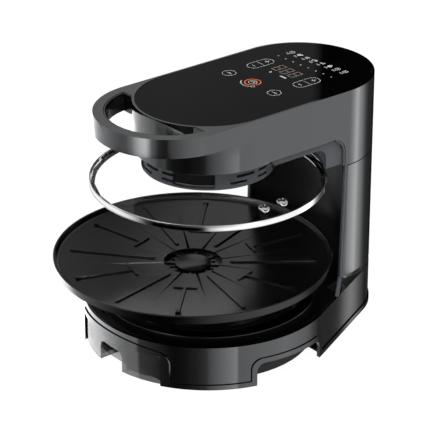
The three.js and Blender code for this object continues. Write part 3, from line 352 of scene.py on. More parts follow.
def refined(node, name, edge, seam=0):
    """A finished copy of a CAD solid, rounded and smooth; seam lowers its top, which leaves a dark line."""
    source = frame["nodes"][node]
    at_rest()
    twin = source.copy()
    twin.data = source.data.copy()
    twin.parent = None
    for key in list(twin.keys()):
        if key.startswith("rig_"):
            del twin[key]
    bpy.context.scene.collection.objects.link(twin)
    twin.name = name
    twin.data.name = name
    pick(twin)
    bpy.ops.object.mode_set(mode="EDIT")
    bpy.ops.mesh.select_all(action="SELECT")
    bpy.ops.mesh.remove_doubles(threshold=WELD / 2)
    bpy.ops.mesh.dissolve_limited(angle_limit=math.radians(1))
    bpy.ops.object.mode_set(mode="OBJECT")
    if seam:
        low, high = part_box(node)
        margin = Vector((OVERRUN, OVERRUN, OVERRUN))
        low = Vector((low.x, low.y, high.z - seam + OVERRUN))
        cut(twin, block("seam", low - margin, high + margin))
    if edge:
        soften(twin, edge, 2, 38)
    polish(twin, 36)
    return fit_for(twin, node)


# Materials


def srgb(code):
    """A hex colour as linear light."""
    channels = [int(code[i : i + 2], 16) / 255 for i in (0, 2, 4)]
    return [c / 12.92 if c <= 0.04045 else ((c + 0.055) / 1.055) ** 2.4 for c in channels] + [1.0]


def add(tree, kind, inputs=None, **settings):
    """Adds a node with its settings; an input is a value, or the socket that feeds it."""
    node = tree.nodes.new(kind)
    for key, value in settings.items():
        setattr(node, key, value)
    for key, value in (inputs or {}).items():
        if isinstance(value, bpy.types.NodeSocket):
            tree.links.new(value, node.inputs[key])
        else:
            node.inputs[key].default_value = value
    return node


def stops(node, *marks):
    """Sets a colour ramp to (place, hex colour) marks."""
    ramp = node.color_ramp
    while len(ramp.elements) > 1:
        ramp.elements.remove(ramp.elements[-1])
    ramp.elements[0].position = marks[0][0]
    ramp.elements[0].color = srgb(marks[0][1])
    for place, code in marks[1:]:
        ramp.elements.new(place).color = srgb(code)
    return node


def surface(name, **sockets):
    """A material with one Principled shader and its plain values."""
    material = bpy.data.materials.new(name)
    material.use_nodes = True
    tree = material.node_tree
    shader = tree.nodes["Principled BSDF"]
    for key, value in sockets.items():
        shader.inputs[key.replace("_", " ")].default_value = value
    return material, tree, shader


def feed(tree, shader, socket, output):
    """Links an output to a socket of the shader."""
    tree.links.new(output, shader.inputs[socket])


def grain(tree, size_mm, detail=2.0, stretch=(1, 1, 1)):
    """Noise on Object coordinates whose grains are about the given size."""
    place = add(tree, "ShaderNodeTexCoord").outputs["Object"]
    scaled = add(tree, "ShaderNodeMapping", {"Vector": place, "Scale": stretch}).outputs["Vector"]
    noise = {"Vector": scaled, "Scale": 1 / (size_mm * MM), "Detail": detail}
    return add(tree, "ShaderNodeTexNoise", noise).outputs["Fac"]


def relief(tree, shader, height, depth_mm, strength):
    """Raises the grain by a depth in millimetres."""
    bump = add(tree, "ShaderNodeBump", {"Height": height, "Distance": depth_mm * MM, "Strength": strength})
    feed(tree, shader, "Normal", bump.outputs["Normal"])


def vary(tree, shader, socket, source, low, high):
    """Lets a plain value wander between two limits with a noise."""
    spread = add(tree, "ShaderNodeMapRange", {"Value": source, "To Min": low, "To Max": high})
    feed(tree, shader, socket, spread.outputs["Result"])


def tint(tree, shader, source, dark, light):
    """Lets the colour wander between two close tones."""
    ramp = stops(add(tree, "ShaderNodeValToRGB", {"Fac": source}), (0.3, dark), (0.7, light))
    feed(tree, shader, "Base Color", ramp.outputs["Color"])


def grained(name, size_mm, tones=None, shine=None, bump=None, detail=2.0, stretch=(1, 1, 1), **sockets):
    """A material with one grain: its two tones, its roughness limits, and its height with the strength."""
    material, tree, shader = surface(name, **sockets)
    pattern = grain(tree, size_mm, detail, stretch)
    if tones:
        tint(tree, shader, pattern, *tones)
    if shine:
        vary(tree, shader, "Roughness", pattern, *shine)
    if bump:
        relief(tree, shader, pattern, *bump)
    return material


def gunmetal_coat():
    """Sprayed metallic lacquer on ABS: a dark even grey that mirrors the room softly, with a faint flake."""
    material, tree, shader = surface("gunmetal_lacquer_on_abs", Metallic=1.0)
    flake = grain(tree, 0.9, 3.0)  # real flake is 0.05 mm; drawn coarser so that it shows
    tint(tree, shader, flake, "58595a", "616263")
    vary(tree, shader, "Roughness", grain(tree, 22, 1.0), 0.06, 0.08)
    return material


def slate_plastic():
    """Moulded glass-filled nylon: a cool slate grey with no mirror in it."""
    size = 0.6  # real spark texture is 0.1 mm; drawn coarser so that it shows
    tones, shine = ("4f5257", "565a5f"), (0.44, 0.58)
    return grained("slate_moulded_nylon", size, tones, shine, (0.03, 0.4), Specular_IOR_Level=0.35)


def black_plastic():
    """Moulded black polypropylene: a fine matt texture that scatters every highlight."""
    tones, shine = ("161616", "1c1c1d"), (0.42, 0.6)
    return grained("black_moulded_polypropylene", 0.7, tones, shine, (0.03, 0.4), Specular_IOR_Level=0.3)


def deck_plastic():
    """Heat-proof black PBT of the deck and the column's inner wall: smooth, satin, very dark."""
    tones, shine = ("030303", "060606"), (0.3, 0.4)
    return grained("black_satin_pbt", 0.8, tones, shine, (0.015, 0.4), Specular_IOR_Level=0.22)


def insert_plastic():
    """Polished black ABS inside the handle loop: deep black with clean highlights."""
    return grained("black_polished_abs", 5, ("0b0b0b", "0f0f0f"), (0.13, 0.2))


def panel_glass():
    """Black back-printed touch glass with an anti-glare face: near black, with a weak clean mirror."""
    tones, shine, smear = ("020202", "040404"), (0.005, 0.02), (1, 0.4, 1)
    return grained("black_printed_touch_glass", 30, tones, shine, stretch=smear, Specular_IOR_Level=0.03)


def non_stick():
    """PTFE coat on cast aluminium: soft black sheen over a finely pebbled casting."""
    size = 1.1  # real spray grain is 0.2 mm; drawn coarser so that it shows
    return grained("ptfe_coated_casting", size, ("030303", "060606"), (0.17, 0.24), (0.01, 0.4), 3.0)


def cap_coat():
    """Polished PTFE coat of the drain cap: the same black, with a softer grain."""
    return grained("ptfe_coated_cap", 4, ("0a0a0a", "0e0e0e"), (0.2, 0.28), Specular_IOR_Level=0.4)


def shade_band_finish():
    """A near-black finish with a faint grain: painted shade for the band behind the vent windows, where the
    inside of the head lies in shade.
    """
    matt = {"Roughness": 0.8, "Specular_IOR_Level": 0.2}
    return grained("painted_shade_band", 0.8, ("0b0b0b", "141414"), None, (0.1, 0.6), 1.0, **matt)


def clear_glass():
    """Tempered soda-lime glass: flat and clear, with the faintest wave."""
    clear = {"Base_Color": srgb("ffffff"), "Roughness": 0.0, "Transmission_Weight": 1.0, "IOR": 1.06}
    return grained("clear_tempered_glass", 60, None, None, (0.02, 0.3), 1.0, Coat_Weight=0.08, **clear)


def chrome():
    """Polished stainless band and studs: a bright mirror with hair-fine polishing lines."""
    steel = {"Base_Color": srgb("e8e9ea"), "Metallic": 1.0}
    return grained("polished_stainless_steel", 1.5, None, (0.03, 0.06), stretch=(1, 1, 6), **steel)


def smoked_plastic():
    """Injection-moulded smoked SAN: a dark glossy wall that lets some of the pale floor through."""
    return grained("smoked_clear_san", 18, ("17181a", "1d1e20"), (0.03, 0.06), IOR=2.1, Alpha=0.7)


def bare_steel():
    """Zinc-plated mild steel of brackets, pins, screws and guard: bright grey with a brushed grain."""
    tones, shine, brush = ("8d9092", "a2a5a7"), (0.28, 0.42), (1, 1, 8)
    return grained("zinc_plated_steel", 0.8, tones, shine, None, 3.0, brush, Metallic=1.0)


def sheet_aluminium():
    """Pressed aluminium sheet of the pan, funnel, reflector and fan: dull silver with rolling marks."""
    tones, shine, rolling = ("76787a", "8c8e90"), (0.34, 0.48), (1, 7, 1)
    return grained("rolled_aluminium_sheet", 1.2, tones, shine, None, 3.0, rolling, Metallic=1.0)


def element_sheath():
    """Oxidised steel sheath of a heating element: dark, slightly blued."""
    return grained("oxidised_element_sheath", 3, ("2b2b2e", "45403d"), (0.42, 0.62), None, 4.0, Metallic=0.9)


def rubber():
    """Moulded black silicone of feet, gland and gasket: matt, slightly grippy."""
    matt = {"Roughness": 0.8, "Specular_IOR_Level": 0.25}
    return grained("black_silicone", 0.9, ("131313", "1b1b1b"), None, (0.04, 0.5), 3.0, **matt)


def circuit_board():
    """FR4 board under green solder mask: the weave just shows."""
    return grained("green_fr4_board", 1.0, ("1b4630", "23573c"), (0.34, 0.5), None, 1.0, (1, 3, 1))


def ink(name, dark, light, glow):
    """Screen-printed mark lit from behind through the glass: flat and slightly glowing."""
    lit = {"Emission_Color": srgb(light), "Emission_Strength": glow}
    return grained(name, 0.8, (dark, light), Roughness=0.5, Specular_IOR_Level=0.1, **lit)


# the finish of the band behind the vent windows is painted shade
WINDOW_SHADE = shade_band_finish()
WHITE_INK = ink("white_panel_ink", "a4a4a4", "bcbcbc", 0.12)
DIGIT_INK = ink("warm_grey_display_ink", "665c57", "766b64", 0.1)
ORANGE_INK = ink("orange_panel_ink", "c8592e", "df6d3c", 0.25)

SLOT_FINISH = {
    "shell": gunmetal_coat(),
    "slate": slate_plastic(),
    "deck": deck_plastic(),
    "black_plastic": black_plastic(),
    "insert": insert_plastic(),
    "panel_glass": panel_glass(),
    "non_stick": non_stick(),
    "cap": cap_coat(),
    "clear_glass": clear_glass(),
    "chrome": chrome(),
    "smoked": smoked_plastic(),
    "steel": bare_steel(),
    "aluminium": sheet_aluminium(),
    "element": element_sheath(),
    "rubber": rubber(),
    "board": circuit_board(),
}


def dress_frame():
    """Every CAD node that stays gets the finish of its slot."""
    for name, node in frame["nodes"].items():
        node.data.materials.clear()
        node.data.materials.append(SLOT_FINISH[SLOT_OF[name]])


# Head

SIDE_LOW = up(223)
DRUM_LOW = up(221.5)
LOOP_LOW = up(253.7)
LOOP_INSIDE = 67 * MM
INSERT_WALL = 2 * MM
TIP_Y = back(-61)
CASING_WALL = 3 * MM
GLASS_INSET = 3 * MM
GLASS_THICK = 3 * MM
GLASS_SUNK = 0.3 * MM
TRIM_Y = back(124)
SIDE_CORNER = 18 * MM
HINGE_POCKET_HALF = 27 * MM
HINGE_POCKET_Y = back(195.5)
SPLIT = up(189)
POCKET_REACH = 8 * MM
VENT_RADIUS = vent_high.x
VENT_WALL = 3 * MM
VENT_LIP = 7 * MM
WINDOW_LOW, WINDOW_HIGH = up(202), up(217)
WINDOW_TURNS = (-51.5, 51.5, 128.5, 231.5)
WINDOW_SWEEP = 37
SLOT_ROWS = ((204.2, -20, -4), (204.2, 8, 21), (211.2, -14, 4), (211.2, 9, 21))  # foot, first and last angle
SLOT_TALL = 2.8


def finger_opening(low, high):
    """The handle's opening: a round hole, less the drum, cut off square at its two tips."""
    hole = post("fingers", LOOP_INSIDE + INSERT_WALL, low, high, 0, LOOP_Y)
    drum = post("drum", HEAD_RADIUS, low - OVERRUN, high + OVERRUN, 0, AXIS_Y)
    tip_y = TIP_Y + INSERT_WALL
    behind = block(
        "behind", (-HEAD_RADIUS, tip_y, low - OVERRUN), (HEAD_RADIUS, tip_y + HEAD_RADIUS, high + OVERRUN)
    )
    return cut(hole, drum, behind)


def hinge_pocket():
    """The space behind the head for the hinge."""
    return block(
        "pocket",
        (-HINGE_POCKET_HALF, HINGE_POCKET_Y, SPLIT - POCKET_REACH),
        (HINGE_POCKET_HALF, HINGE_POCKET_Y + HEAD_RADIUS, SPLIT + POCKET_REACH),
    )


def head_casing():
    """Gunmetal head: round drum, straight flanks, round back, and the loop handle at the front."""
    casing = taut("head_casing", HEAD_RADIUS, HEAD_RADIUS, head_low.z, HEAD_TOP)
    corner = (TRIM_Y - SIDE_CORNER, SIDE_LOW - SIDE_CORNER)
    ahead, below = -3 * HEAD_RADIUS, head_low.z - OVERRUN
    under = [(ahead, below), (TRIM_Y, below)] + arc(corner, SIDE_CORNER, 0, 90, 24) + [(ahead, SIDE_LOW)]
    cut(casing, slab("under", under, "X", -2 * HEAD_RADIUS, 2 * HEAD_RADIUS))
    join(
        casing,
        post("drum", HEAD_RADIUS, DRUM_LOW, HEAD_TOP, 0, AXIS_Y, WIDE),
        taut("loop", HEAD_RADIUS, HEAD_RADIUS, LOOP_LOW, HEAD_TOP, LOOP_Y, AXIS_Y),
    )
    inside = HEAD_RADIUS - CASING_WALL
    roof = HEAD_TOP - GLASS_THICK - 2 * CASING_WALL
    rim = HEAD_RADIUS - GLASS_INSET + HAIR
    cut(
        casing,
        finger_opening(LOOP_LOW - OVERRUN, HEAD_TOP + OVERRUN),
        taut("hollow", inside, inside, head_low.z - OVERRUN, roof),
        taut("recess", rim, rim, HEAD_TOP - GLASS_THICK - GLASS_SUNK, HEAD_TOP + OVERRUN),
        hinge_pocket(),
    )
    tidy(casing)
    soften(casing, 0.9 * MM, 4, 40)
    polish(casing)
    return fit_for(casing, "head_shell")


def touch_glass():
    """Black glass that fills the head's top, its edge ground round."""
    radius = HEAD_RADIUS - GLASS_INSET
    glass = taut("touch_glass", radius, radius, HEAD_TOP - GLASS_THICK, HEAD_TOP - GLASS_SUNK)
    soften(glass, 0.5 * MM, 3, 60)
    polish(glass)
    return fit_for(glass, "control_glass")


def arch_trims():
    """Slate edging inside the head's arch, in line with the column's trim strips."""
    width, depth, sunk = 2.3 * MM, 3 * MM, 0.4 * MM
    corner = (TRIM_Y - SIDE_CORNER, SIDE_LOW - SIDE_CORNER)
    low = SPLIT + HAIR
    outer = [(TRIM_Y - HAIR, low)] + arc(corner, SIDE_CORNER - HAIR, 0, 78, 20)
    inner = arc(corner, SIDE_CORNER - HAIR - width, 72, 0, 20) + [(TRIM_Y - HAIR - width, low)]
    for side, name in ((1, "arch_trim_right"), (-1, "arch_trim_left")):
        face = side * (HEAD_RADIUS - sunk)
        trim = slab(name, outer + inner, "X", face - side * depth, face)
        soften(trim, HAIR, 2, 40)
        polish(trim)
        fit(trim, "head", "slate", SLOT_FINISH["slate"])


def vent_ring():
    """Slate ring under the drum: four wide windows and short slots in two rows between them."""
    low, high, radius = vent_low.z, vent_high.z, VENT_RADIUS
    inner = radius - VENT_WALL
    chamfer, floor_high = 0.8 * MM, low + 2 * MM
    ring_piece = spun(
        "vent_collar",
        [
            (inner - VENT_LIP, low), (radius - chamfer, low), (radius, low + chamfer), (radius, high),
            (inner, high), (inner, floor_high), (inner - VENT_LIP, floor_high), (inner - VENT_LIP, low),
        ],
    )
    reach = (inner - OVERRUN / 3, radius + OVERRUN)
    holes = [sector("window", reach, WINDOW_LOW, WINDOW_HIGH, turn, WINDOW_SWEEP) for turn in WINDOW_TURNS]
    for middle in (-90, 0, 90, 180):
        for foot, start, end in SLOT_ROWS:
            turn = middle + (start + end) / 2
            holes.append(sector("slot", reach, up(foot), up(foot + SLOT_TALL), turn, end - start))
    cut(ring_piece, *holes)
    tidy(ring_piece)
    soften(ring_piece, 0.35 * MM, 2, 40)
    polish(ring_piece)
    return fit_for(ring_piece, "vent_ring")


def vent_shade_band():
    """Near-black band that lines the vent ring: painted shade, so that the windows look as dark as the shaded
    inside of the head.
    """
    outer = VENT_RADIUS - VENT_WALL - HAIR
    inner = outer - 0.8 * MM
    low, high = vent_low.z + 4.6 * MM, vent_high.z - HAIR
    outline = [(inner, low), (outer, low), (outer, high), (inner, high), (inner, low)]
    band = spun("vent_shade_band", outline, steps=ROUND)
    polish(band)
    return fit(band, "head", "black_plastic", WINDOW_SHADE)


# Marks on the glass

MARK_LOW = HEAD_TOP - GLASS_SUNK + 0.01 * MM
MARK_HIGH = MARK_LOW + 0.08 * MM


def dot(x, y, radius, steps=FINE):
    """A round mark."""
    return post("dot", radius * MM, MARK_LOW, MARK_HIGH, x * MM, back(y), steps)


def ring(x, y, radius, line):
    """A thin circle."""
    hole = post("hole", (radius - line) * MM, MARK_LOW - MM, MARK_HIGH + MM, x * MM, back(y), FINE)
    return cut(dot(x, y, radius), hole)


def patch(x, y, width, depth, corner=0.0):
    """A flat mark centred on a place, its corners rounded."""
    low = (x * MM - width * MM / 2, back(y - depth / 2), MARK_LOW)
    high = (x * MM + width * MM / 2, back(y + depth / 2), MARK_HIGH)
    return block("patch", low, high, corner * MM)


def frame_line(x, y, width, depth, corner, line):
    """An outlined patch."""
    outside = patch(x, y, width, depth, corner)
    inside = patch(x, y, width - 2 * line, depth - 2 * line, corner - line)
    for vertex in inside.data.vertices:
        vertex.co.z += MM if vertex.co.z > (MARK_LOW + MARK_HIGH) / 2 else -MM
    return cut(outside, inside)


# Each shape of a sign: its kind, its place from the sign's middle and its sizes, in millimetres
PROGRAMME_SIGNS = (
    ((ring, 0, 0, 3.4, 0.7), (patch, 0, 0, 3.4, 0.9)),
    ((dot, -0.4, 0, 2.7), (patch, 2.6, 1.9, 1.9, 1.9, 0.5)),
    ((patch, 0, 1.3, 6.4, 1.6, 0.7), (patch, 0, -1.3, 5.0, 1.9, 0.8)),
    ((ring, -1.4, -0.5, 2.2, 0.8), (dot, 1.6, 0.7, 1.9)),
    ((patch, 0, -0.3, 6.2, 2.2, 1.0), (patch, 1.7, 1.9, 2.6, 1.2, 0.5)),
    ((dot, 0, -0.3, 2.8), (patch, 0, 2.9, 1.5, 1.3, 0.4)),
    ((ring, 0, 0, 3.3, 0.7), (patch, 0, 0, 0.9, 3.4), (patch, 0, 0, 3.4, 0.9)),
    ((ring, 0, 0, 3.3, 0.6), (dot, 0, 0, 1.1)),
)
LONG_KEY = (
    (frame_line, 0, 0, 16, 34, 7.9, 0.6), (patch, 0, 0, 10, 0.6),
    (patch, 0, 9.5, 5.6, 1.0), (patch, 0, 9.5, 1.0, 5.6), (patch, 0, -9.5, 5.6, 1.0),
)
ROUND_KEY = (
    (ring, 0, 0, 7.7, 0.55), (patch, -2.7, 0, 2.9, 1.0, 0.4), (patch, 0.5, 0.3, 1.6, 2.2, 0.5),
    (patch, 3.2, 0, 2.1, 1.0, 0.4),
)
START_KEY = ((ring, 0, 0, 5.0, 0.8), (patch, 0, 0, 5.8, 0.8), (patch, 0, 1.8, 0.8, 3.8))
DISPLAY_LAMPS = ((dot, -14, 97.5, 1.5, FINE // 2), (patch, 6, 98.5, 9, 2.6, 0.8))

# Places across and behind the working axis, in millimetres
FIRST_SIGN, SIGN_STEP = (-43.2, 153.7), (11.4, 0.93)
FIRST_LAMP, LAMP_STEP = (-44.5, 134.8), (11.8, 0.5)
LONG_KEYS = ((-39.5, 105), (33.3, 108))
ROUND_KEYS = ((-39.5, 61), (33.5, 62.5))
START_PLACE = (-3.5, 64)
FIGURES = ((-17, 112.5), (-4, 112.5), (9, 112.5))
FIGURE_WIDTH, FIGURE_DEPTH, FIGURE_LINE = 9.0, 17, 1.35


def sign(place, shapes):
    """One sign, at its place on the glass."""
    return [shape(place[0] + x, place[1] + y, *sizes) for shape, x, y, *sizes in shapes]


def figure(x, y):
    """A figure of seven bars, all lit."""
    line, half = FIGURE_LINE, FIGURE_DEPTH / 2
    across = FIGURE_WIDTH - 1.4 * line
    marks = [patch(x, y + side * (half - line / 2), across, line) for side in (-1, 0, 1)]
    for side in (-1, 1):
        for end in (-1, 1):
            place = (x + side * (FIGURE_WIDTH - line) / 2, y + end * half / 2)
            marks.append(patch(*place, line, half - 0.9 * line))
    return marks


def tick(centre, radius, angle):
    """A small bar on a circle about a centre, turned to face it; wider at angles that three divides."""
    x, y = centre
    mark = patch(x, y - radius, 2.0 if angle % 3 else 2.8, 1.5, 0.2)
    mark.data.transform(turned(angle + 90, back(y), x * MM))
    return mark


def panel_marks():
    """Printed and lit signs: programme row, lamps, figures, keys and the start key."""
    white = sign((0, 0), DISPLAY_LAMPS)
    for i, shapes in enumerate(PROGRAMME_SIGNS):
        x, y = FIRST_SIGN[0] + SIGN_STEP[0] * i, FIRST_SIGN[1] + SIGN_STEP[1] * i
        white += sign((x, y), shapes)
        white.append(patch(x - 0.3, y - 5.4, 6.4 - 0.5 * (i % 3), 0.6))
        white.append(patch(x + 0.3, y - 6.9, 4.2 + 0.5 * (i % 2), 0.5))
        white.append(dot(FIRST_LAMP[0] + LAMP_STEP[0] * i, FIRST_LAMP[1] + LAMP_STEP[1] * i, 0.9, SHORT))
    for place in LONG_KEYS:
        white += sign(place, LONG_KEY)
    for place in ROUND_KEYS:
        white += sign(place, ROUND_KEY)
    white += sign(START_PLACE, START_KEY)
    white += [tick(START_PLACE, 12.8, angle) for angle in range(-146, -33, 14)]
    warm = [mark for place in FIGURES for mark in figure(*place)]
    fit(gather("panel_marks", white), "head", "panel_glass", WHITE_INK)
    fit(gather("panel_figures", warm), "head", "panel_glass", DIGIT_INK)
    fit(gather("start_ring", [ring(*START_PLACE, 9.2, 1.1)]), "head", "panel_glass", ORANGE_INK)


# Grill plate and drain cap

DISH_OUTER, DISH_INNER = 144.5, 31.0
DISH_OUTER_HEIGHT, DISH_INNER_HEIGHT = 96.8, 90.5
DISH_SLOPE = (DISH_OUTER_HEIGHT - DISH_INNER_HEIGHT) / (DISH_OUTER - DISH_INNER)
BARS, CREASES, DRAINS, PETALS = 6, 12, 8, 8
BAR_START, STEM_START, RIB_END = 40, 66, 133.6
BAR_WIDTH, STEM_WIDTH = 5.0, 4.4
CROSS_START, CROSS_END = 56, 82
RIB_PROUD, RIB_SUNK = 1.8, 1.5
KNOB_RADIUS, KNOB_PROUD = 3.1, 0.7
CREASE_START, CREASE_END = 26, 128
CREASE_HALF, CREASE_DEPTH = 3.4, 2.1
DRAIN_RADIUS, DRAIN_PLACE = 2.6, 23
PETAL_START, PETAL_END, PETAL_HALF = 16, 30.9, 1.1


def dish(radius):
    """Height of the dish at a radius, both in millimetres."""
    return DISH_INNER_HEIGHT + DISH_SLOPE * (radius - DISH_INNER)


def on_plate(radius, across, height):
    """A place on the plate along +X from its centre, sizes in millimetres."""
    return Vector((radius * MM, PLATE_Y + across * MM, up(height)))


def hull(name, corners):
    """The tight skin round the given places."""
    draw(corners)
    bpy.ops.mesh.convex_hull(join_triangles=True)
    bpy.ops.object.mode_set(mode="OBJECT")
    return new_piece(name)


def rib(name, start, end, width, knob=False):
    """A raised bar along the dish with sloping sides and round ends; a knob stands on its outer end."""
    half = width / 2
    corners = []
    for level, reach in ((-RIB_SUNK, half), (RIB_PROUD - 0.3, half - 0.5), (RIB_PROUD, half - 0.9)):
        for middle, first in ((start + half, 90), (end - half, -90)):
            for i in range(9):
                angle = math.radians(first + 180 * i / 8)
                r = middle + reach * math.cos(angle)
                corners.append(on_plate(r, reach * math.sin(angle), dish(r) + level))
    bar = hull(name, corners)
    if knob:
        r = end - half
        foot, top = up(dish(r) - RIB_SUNK), up(dish(r) + RIB_PROUD + KNOB_PROUD)
        join(bar, post("knob", KNOB_RADIUS * MM, foot, top, r * MM, PLATE_Y, 20))
    return bar


def cross_bar():
    """A short bar across the plate's radius, at the inner end of a stem."""
    bar = rib("cross", CROSS_START, CROSS_END, STEM_WIDTH)
    r = (CROSS_START + CROSS_END) / 2
    middle = Matrix.Translation(on_plate(r, 0, dish(r)))
    level = Matrix.Rotation(math.atan(DISH_SLOPE), 4, "Y")
    quarter = Matrix.Rotation(math.radians(90), 4, "Z")
    bar.data.transform(middle @ level.inverted() @ quarter @ level @ middle.inverted())
    return bar


def crease():
    """A V-shaped groove that runs out to a point."""
    floor_start, floor_end = dish(CREASE_START), dish(CREASE_END)
    return hull("crease", [
        on_plate(CREASE_START, -CREASE_HALF, floor_start + CREASE_DEPTH),
        on_plate(CREASE_START, CREASE_HALF, floor_start + CREASE_DEPTH),
        on_plate(CREASE_START, 0, floor_start - CREASE_DEPTH),
        on_plate(CREASE_END, 0, floor_end + 0.05),
        on_plate(CREASE_END, 0, floor_end + CREASE_DEPTH),
    ])


def grill_plate():
    """Cast dish with a turned-up rim: twelve drain creases, six bars and six T ribs round a ring sump."""
    profile = [
        (0, 83.4), (33.2, 83.4), (33.2, 87.5), (94, 91), (128, 91), (146.4, 90.8), (147.2, 91.3),
        (149.4, 100.2), (149.95, 101.0), (149.6, 101.6), (148.8, 101.7), (147.6, 101.5), (146.9, 100.9),
        (145.4, 97.6), (144.4, 96.9), (142.5, 96.6), (32.2, 90.6), (31.2, 90.3), (30.8, 89.4), (30.6, 85.9),
        (30.2, 85.6), (15.4, 85.6), (15, 86), (15, 87), (14.6, 87.4), (0, 87.4),
    ]
    plate = spun("cast_plate", [(r * MM, up(z)) for r, z in profile], PLATE_Y)
    plate.data.transform(turned(1.3, PLATE_Y))  # so that no groove or rib runs along a facet's edge
    drain = post("drain", DRAIN_RADIUS * MM, up(80), up(87), DRAIN_PLACE * MM, PLATE_Y, SHORT)
    cut(plate, round_plate(crease(), CREASES, 0), round_plate(drain, DRAINS, 180 / DRAINS))
    low, high = on_plate(PETAL_START, -PETAL_HALF, 85), on_plate(PETAL_END, PETAL_HALF, 87.2)
    join(
        plate,
        round_plate(rib("bar", BAR_START, RIB_END, BAR_WIDTH), BARS, 45),
        round_plate(rib("stem", STEM_START, RIB_END, STEM_WIDTH, True), BARS, 15),
        round_plate(cross_bar(), BARS, 15),
        round_plate(block("petal", low, high), PETALS, 0),
    )
    tidy(plate)
    soften(plate, 0.3 * MM, 2, 56)
    polish(plate, 30)
    return fit_for(plate, "grill_plate")


def drain_cap():
    """Low domed cap that covers the sump's middle."""
    profile = [
        (0, 85.1), (4.4, 85.1), (4.8, 85.5), (4.8, 87.7), (18.8, 87.7), (19.4, 88.0), (19.6, 88.5),
        (19.4, 89.0), (18.4, 89.5), (15.5, 90.25), (11.5, 90.9), (7, 91.3), (3, 91.45), (0, 91.5),
    ]
    cap = spun("domed_cap", [(r * MM, up(z)) for r, z in profile], PLATE_Y, ROUND)
    polish(cap, 40)
    return fit_for(cap, "drain_cap")


# Glass lid

def lid_band():
    """Bright band round the lid with a rolled top edge and a lip under the glass."""
    outer, low, high = lid_high.x, lid_low.z, lid_high.z
    roll, nick = 0.5 * MM, 0.15 * MM
    inner = outer - 1.4 * MM
    lip, lip_high = inner - 5 * MM, low + 1.2 * MM
    outline = [
        (lip, low), (outer - roll, low), (outer - nick, low + nick), (outer, low + roll),
        (outer, high - roll), (outer - nick, high - nick), (outer - roll, high), (inner + roll, high),
        (inner, high - roll), (inner, lip_high), (lip, lip_high), (lip, low),
    ]
    band = spun("lid_band", outline, LID_Y)
    polish(band)
    return fit_for(band, "lid_rim")


def lid_glass():
    """The lid's flat round pane, its edge ground round."""
    pane = post("lid_glass", pane_high.x, pane_low.z, pane_high.z, 0, LID_Y, WIDE)
    soften(pane, 0.5 * MM, 3, 60)
    polish(pane)
    return fit_for(pane, "lid_pane")


def lid_studs():
    """Polished round studs with a dished top, down on the glass."""
    foot = [(0, 0), (4.4, 0), (4.9, 0.5), (5.45, 1.3)]  # radius and height above the glass
    crown = [
        (5.75, 2.6), (5.7, 1.9), (5.45, 1.2), (5.0, 0.6), (4.4, 0.15), (3.9, 0), (3.5, 0.15), (2.6, 0.8),
        (1.4, 1.3), (0, 1.4),
    ]  # radius and depth below the stud's top
    for node in ("lid_stud_1", "lid_stud_2"):
        low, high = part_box(node)
        profile = [(r * MM, pane_high.z + z * MM) for r, z in foot]
        profile += [(r * MM, high.z - z * MM) for r, z in crown]
        stud = spun(node.replace("lid_stud", "dome_stud"), profile, (low.y + high.y) / 2, FINE)
        stud.data.transform(Matrix.Translation(((low.x + high.x) / 2, 0, 0)))
        polish(stud, 40)
        fit_for(stud, node)


# Base

BEAD = 1.3 * MM
GROOVE = 0.9 * MM
BASE_RADIUS = (skirt_high.x - skirt_low.x) / 2 - BEAD
BASE_TOP = skirt_high.z
FAR = 2 * BASE_RADIUS
LINE = 0.9  # how far the fine groove runs outside a frame or the bead, in millimetres
ARCH_FRAME = 5.5
BEAD_TOP = 5.5
DRAWER_LEFT, DRAWER_RIGHT, DRAWER_TOP = -65.6 * MM, 66.8 * MM, up(34.6)
DRAWER_WAY_END = AXIS_Y - BASE_RADIUS / 2
CORD_RADIUS, CORD_HEIGHT, CORD_WAY_START = 7.1 * MM, up(24), back(140)


def skirt_wall(growth, low, high):
    """The base's outline, grown outwards, between two heights."""
    return taut("skirt_wall", BASE_RADIUS + growth, HEAD_RADIUS + growth, low, high)


def arch_side(growth):
    """Side outline of the grip arch, grown outwards, from below the floor."""
    front, rear = back(-44.5 - growth), back(57.5 + growth)
    corner_f, corner_b = (12 + growth / 2) * MM, (14 + growth / 2) * MM
    top_f, top_b = up(31 + growth), up(28.6 + growth)
    return (
        [(front, -OVERRUN), (rear, -OVERRUN)]
        + arc((rear - corner_b, top_b - corner_b), corner_b, 0, 90, 12)
        + arc((front + corner_f, top_f - corner_f), corner_f, 90, 180, 12)
    )


def drawer_front(growth):
    """Front outline of the raised frame round the drawer."""
    half, corner = (75.5 + growth) * MM, (14 + growth) * MM
    shoulder, crown = up(40 + growth), up(43.6 + growth)
    inner = half - corner
    bow = [(inner * s, crown - (crown - shoulder) * s * s) for s in (0.75, 0.5, 0.25, 0, -0.25, -0.5, -0.75)]
    return (
        [(-half, -OVERRUN), (half, -OVERRUN)]
        + arc((inner, shoulder - corner), corner, 0, 90, 12)
        + bow
        + arc((-inner, shoulder - corner), corner, 90, 180, 12)
    )


def outlines(name, growth, foot):
    """Both arches, the drawer's frame and all below a foot height, as one shape right through the base."""
    return join(
        slab(name, arch_side(growth), "X", -FAR, FAR),
        slab("front", drawer_front(growth), "Y", -FAR, AXIS_Y),
        block("foot", (-FAR, -FAR, -OVERRUN), (FAR, 2 * FAR, up(foot))),
    )


